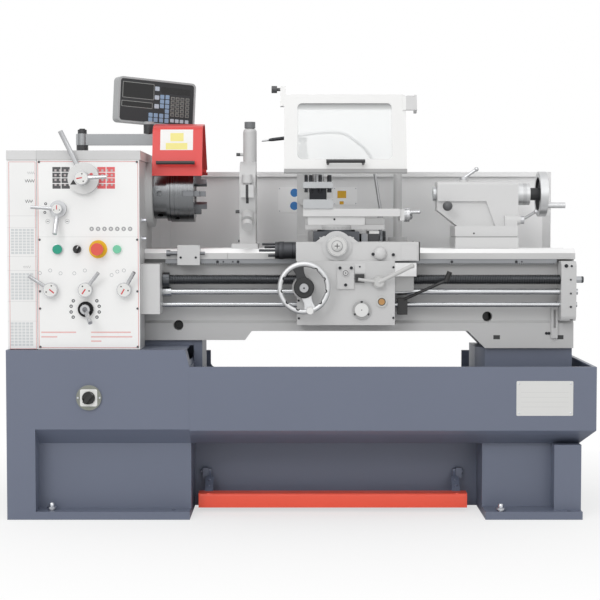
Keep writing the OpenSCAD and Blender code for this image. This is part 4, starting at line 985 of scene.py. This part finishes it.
dress("feed_lever", enamel("lever_enamel", "c6c6c5", 0.36)[0], 0.0014)
dress("spindle_lever", moulded_black, 0.0012)
turret_black, shader, (x, y, z), tint = bare_metal("turret_black", "4b4c4f", 0.40)
layered(shader, tint, (x.within(-84, -82).either(x.within(-32, -30)), "1f2021"))
dress("stop_turret", turret_black, 0.0012)
KNURL = [(30.4, 0), (31.2, 1), (31.2, 17), (30.4, 18)]
piece("turret_knurl", [turned(KNURL, (-80, -180, 941), RIGHT, 288, 72, 0.008)], turret_black, "stop_turret")


# Cross slide and compound. The dark ground slide moves on the saddle's dovetail; the swivel base and
# top slide are painted castings, and the tool post is a block with clamping screws.

dress("cross_slide", bare_metal("slide_black", "5a5c60", 0.40, (1.0, 0.1, 1.0))[0], 0.001)
DIAL = (126, 957)
dial_steel, shader, (x, y, z), tint = bare_metal("dial_steel", "b9bbbd", 0.30)
reach = gap(x, z, DIAL)
edge = reach.above(36.4).both(y.within(-236, -226)).either(reach.within(31, 35.6).both(y.below(-237)))
face = reach.below(36).both(y.below(-237))
slots = abs(x - DIAL[0]).below(1.6).either(abs(z - DIAL[1]).below(1.6)).both(reach.below(9), y.below(-249))
layered(shader, tint, (face, "d3d3d2"), (edge.both(graduations(x, z, DIAL, 50)), "4c4d4f"),
        (reach.within(18, 20).both(face), "8d8e90"), (slots, "3b3b3d"))
(1 - face).feed(shader, "Metallic")
dress("cross_dial", dial_steel, 0.001)

compound_enamel, shader, (x, y, z), tint = enamel("compound_enamel", "c4c4c4", 0.40)
SLIDE_Y, CRANK_Z = -80, 1068
SWIVEL = (DIAL[0], SLIDE_Y)
degrees = graduations(x, y, SWIVEL, 90, 0.16, 0.03)
layered(shader, tint, (degrees.both(gap(x, y, SWIVEL).within(68, 70), z.within(1016, 1024)), "4b4b4c"))
dress("compound_base", compound_enamel, 0.0012)
top_enamel, shader, (x, y, z), tint = enamel("top_enamel", "dcdcdc", 0.40)
post_part = gap(x, y, (60, SLIDE_Y)).below(15.4).both(z.above(1090.4))
layered(shader, tint, (post_part, "9b9da0"))
post_part.feed(shader, "Metallic")
SLIDE_TOP, SLIDE_FLANGE = 1090, 1062
flange, end_block = [
    [(SLIDE_Y - half, low), (SLIDE_Y + half, low), (SLIDE_Y + half, top), (SLIDE_Y - half, top)]
    for half, low, top in ((48, SLIDE_FLANGE, SLIDE_TOP), (38, 1047, SLIDE_TOP - 2))]
rails = [[(SLIDE_Y + s * 38, 1031.2), (SLIDE_Y + s * 26.3, 1031.2), (SLIDE_Y + s * 34.4, SLIDE_FLANGE + 1),
          (SLIDE_Y + s * 38, SLIDE_FLANGE + 1)] for s in (-1, 1)]
slide = piece("undercut_top_slide", [
    beam(flange, (SLIDE_Y, 1076), 0, 6, 356), beam(end_block, (SLIDE_Y, CRANK_Z), 0, 355, 372),
    *[beam(rail, np.mean(rail, 0), 0, 23, 229) for rail in rails],
    turned([(15, 0), (15, 96), (9, 96), (9, 124), (8, 125)], (60, SLIDE_Y, SLIDE_TOP - 1), UP, 40)],
    top_enamel, "top_slide")
rounded(slide, 0.0016)
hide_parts("top_slide")
piece("top_slide_gib_screw", [socket_screw((119, -118, 1052), 3.6, 2)], black_oxide, "top_slide")
crank_chrome, shader, (x, y, z), tint = bare_metal("crank_chrome", CHROME, 0.26)
CRANK = (SLIDE_Y, CRANK_Z)
ticks = graduations(y, z, CRANK, 50).both(x.within(374, 382), gap(y, z, CRANK).within(24, 26))
layered(shader, tint, (ticks, "48494b"))
dress("top_slide_crank", crank_chrome, 0.001)
post_steel, shader, (x, y, z), tint = bare_metal("post_steel", "b4b6b8", 0.34)
# Painted shade: the band at the tool slot's height is coloured near black for the shade in the slot.
tool_slot_shade = z.within(1123.4, 1163.6)
heads = z.above(1186.5).either(z.within(1150, 1163.6).both(x.below(28)))
layered(shader, tint, (tool_slot_shade, "2f3033"), (heads, "3c3d40"))
dress("toolpost", post_steel, 0.0008)
dress("toolpost_lever", satin_chrome, 0.001)


# Follow rest and coolant. The rest is a painted arch with one finger; behind the tool a bent pipe rises
# from a tap on the saddle to a dark nozzle.

def through(points, per):
    """A smooth curve through points: cubic steps whose slopes are half the span of the neighbours."""
    p = np.array(points, float)
    slope = np.gradient(p, axis=0)
    t = np.linspace(0, 1, per, endpoint=False)[None, :, None]
    a, b, m, n = p[:-1, None], p[1:, None], slope[:-1, None], slope[1:, None]
    curve = ((2 * t**3 - 3 * t**2 + 1) * a + (t**3 - 2 * t**2 + t) * m
             + (3 * t**2 - 2 * t**3) * b + (t**3 - t**2) * n)
    return np.concatenate([curve.reshape(-1, p.shape[1]), p[-1:]])


def tube(points, y0, radius, per=10, sides=20):
    """A round tube along a smooth path in a plane of constant Y: each ring is square to the path there.
    The radius is one number, or one for each point, eased between them."""
    flat = through(points, per)
    path = np.stack([flat[:, 0], np.full(len(flat), y0), flat[:, 1]], -1)
    size = np.interp(np.arange(len(flat)), np.arange(len(points)) * per, np.broadcast_to(radius, len(points)))
    ahead = np.gradient(path, axis=0)
    ahead /= np.linalg.norm(ahead, axis=1, keepdims=True)
    side = np.cross(ahead, (0.0, 1.0, 0.0))
    roll = circle(sides)[None, :, None]
    grid = path[:, None] + size[:, None, None] * (
        np.cos(roll) * side[:, None] + np.sin(roll) * np.array([0.0, 1.0, 0.0]))
    return capped(grid, path[0], path[-1])


rest_enamel, shader, (x, y, z), tint = enamel("rest_enamel", "d4d4d4", 0.40)
layered(shader, tint, (z.above(1334.4), "77797b"))
dress("follow_rest", rest_enamel, 0.0018)

PIPE_X, PIPE_Y = 299, 168.0
PIPE = [(PIPE_X, 1000), (PIPE_X, 1090), (294, 1126), (284, 1190), (268, 1276), (246, 1312), (222, 1336),
        (170, 1372), (124, 1381), (52, 1378), (-62, 1360)]
NOZZLE = [(-56, 1361), (-66, 1359.5), (-76, 1358.2), (-108, 1354.4), (-118, 1353.2), (-128, 1351.4),
          (-150, 1348.4)]
pipe_metal, shader, (x, y, z), tint = bare_metal("pipe_metal", "b9babc", 0.30)
layered(shader, tint, (x.within(-123, -60), "3d3e41"), (z.below(1010.4), "6f7174"))
pipe = piece("bent_coolant_pipe", [
    tube(PIPE, PIPE_Y, 6.0), tube(NOZZLE, PIPE_Y, [5.0, 6.6, 6.8, 6.4, 5.4, 3.6, 2.8]),
    turned([(22, 0), (22, 34), (20, 38), (12, 39)], (PIPE_X, PIPE_Y, 971), UP, 40),
    turned([(9, 0), (12, 2), (12, 36), (9, 38)], (PIPE_X, PIPE_Y, 1040), UP, 6),
    turned([(6, 0), (6, 30), (5, 34)], (PIPE_X, PIPE_Y, 1060), FRONT, 24)],
    pipe_metal, "carriage")
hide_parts("coolant_pipe")


# Chip shield. A pressed white frame hung from a post on the saddle, with a clear sheet clamped behind it,
# a black bow handle and a knurled screw at its upper left corner. A painted shadow of the frame darkens the
# clear sheet along its top edge.

LEAN, HINGE_Y, HINGE_Z = math.radians(18), -80, 1485


def on_shield(y, z):
    """Distances out of the leaning sheet and up along it, from the hinge."""
    back, rise = y - HINGE_Y, z - HINGE_Z
    out = back * math.cos(LEAN) - rise * math.sin(LEAN)
    return out, back * math.sin(LEAN) + rise * math.cos(LEAN)


shield_paint, shader, (x, y, z), tint = enamel("shield_paint", "ebebea", 0.36)
out, up = on_shield(y, z)
handle = out.below(-19.4).both(up.above(-272), x.within(80, 236))
lip = up.below(-274).both(out.below(-17))
bracket, screw = x.above(376.6), x.below(-76.6)
layered(shader, tint, (lip, "9c9c9c"), (bracket, "cdcdcd"), (handle, "2b2b2c"), (screw, "47484a"))
dress("chip_shield", shield_paint, 0.001)
clear_sheet, shader, place = finish("clear_sheet", Coat_Weight=0.3)
x, y, z = axes(place)
up = on_shield(y, z)[1]
# Painted shadow: under the frame's top edge the sheet turns grey and less clear, for the frame's shadow.
strip = up.ramp(-46.0, -44.5, 0.0, 0.3) + up.ramp(-44.0, -22.0, 0.0, 0.7)
haze = noise(place, 2.5, 2.0).blend(rgb("eff2f2"), rgb("f6f7f7"))
layered(shader, haze, (strip, "77797a"))
(strip * 0.5 + 0.5).feed(shader, "Alpha")
(noise(place, 30.0, 3.0) * 0.05 + 0.04).feed(shader, "Roughness")
dress("shield_window", clear_sheet, 0.0)


# Steady rest. Two cast half rings that hinge at the back, with three fingers in sleeves; a swing bolt
# in a slot at the front holds the halves together, and dark screws lock the fingers.

steady_enamel, shader, (x, y, z), tint = enamel("steady_enamel", "cccccc", 0.40)
# Painted shade: a dark patch at the front stands in for the shade in the swing bolt's slot.
slot_shade = x.within(-200, -190).both(y.below(-70), z.within(1109, 1176))
lock = x.below(-224.5).both(z.above(1000))
layered(shader, tint, (slot_shade, "2e2e30"), (lock, "4a4b4d"), (z.above(1385.4), "6f7173"))
dress("steady_base steady_top", steady_enamel, 0.002)
SLEEVE_DOME = [(25.2, 0), (25, 3), (23, 9), (19, 13.4), (12, 16)]
piece("steady_sleeve_dome", [turned(SLEEVE_DOME, (-189, 0, 1370), UP, 48)], steady_enamel, "steady_top")
piece("steady_foot_screw", [turned([(5, 0), (5, 5), (3.6, 6)], (-224, -60, 973), (-1, 0, 0), 6)],
      black_oxide, "steady_base")


# Tailstock. A cast body on a sole plate, clamped to the bed; the quill slides in its barrel, and the
# screw's chromed handwheel with dark spokes stands at the right behind a graduated collar.

tail_enamel, shader, (x, y, z), tint = enamel("tail_enamel", "d7d7d7", 0.40)
ball = gap(x, z, (529, 1100)).below(20).both(y.below(-60))
oil = gap(x, z, (625, 1001)).below(3.4).both(y.below(-94))
layered(shader, tint, (ball, "57585a"), (oil, "3a3a3b"), (z.within(986.2, 990.6), "a8a8a8"))
dress("tailstock", tail_enamel, 0.002)
dress("quill", turned_metal("quill_steel", "c2c4c6", 0.26)[0], 0.0008)
tail_chrome, shader, (x, y, z), tint, radius = turned_metal("tail_chrome", "d6d7d8", 0.42)
ticks = graduations(y, z, (0.0, AXIS_Z), 80).both(x.within(812, 826), radius.within(39, 41))
spoke_part = x.within(838.4, 903).both(radius.below(62.6))
layered(shader, tint, (ticks, "4c4d4f"), (spoke_part, "303133"))
(1 - spoke_part).feed(shader, "Metallic")
dress("tail_handwheel", tail_chrome, 0.001)
dress("quill_lever clamp_lever", satin_chrome, 0.001)
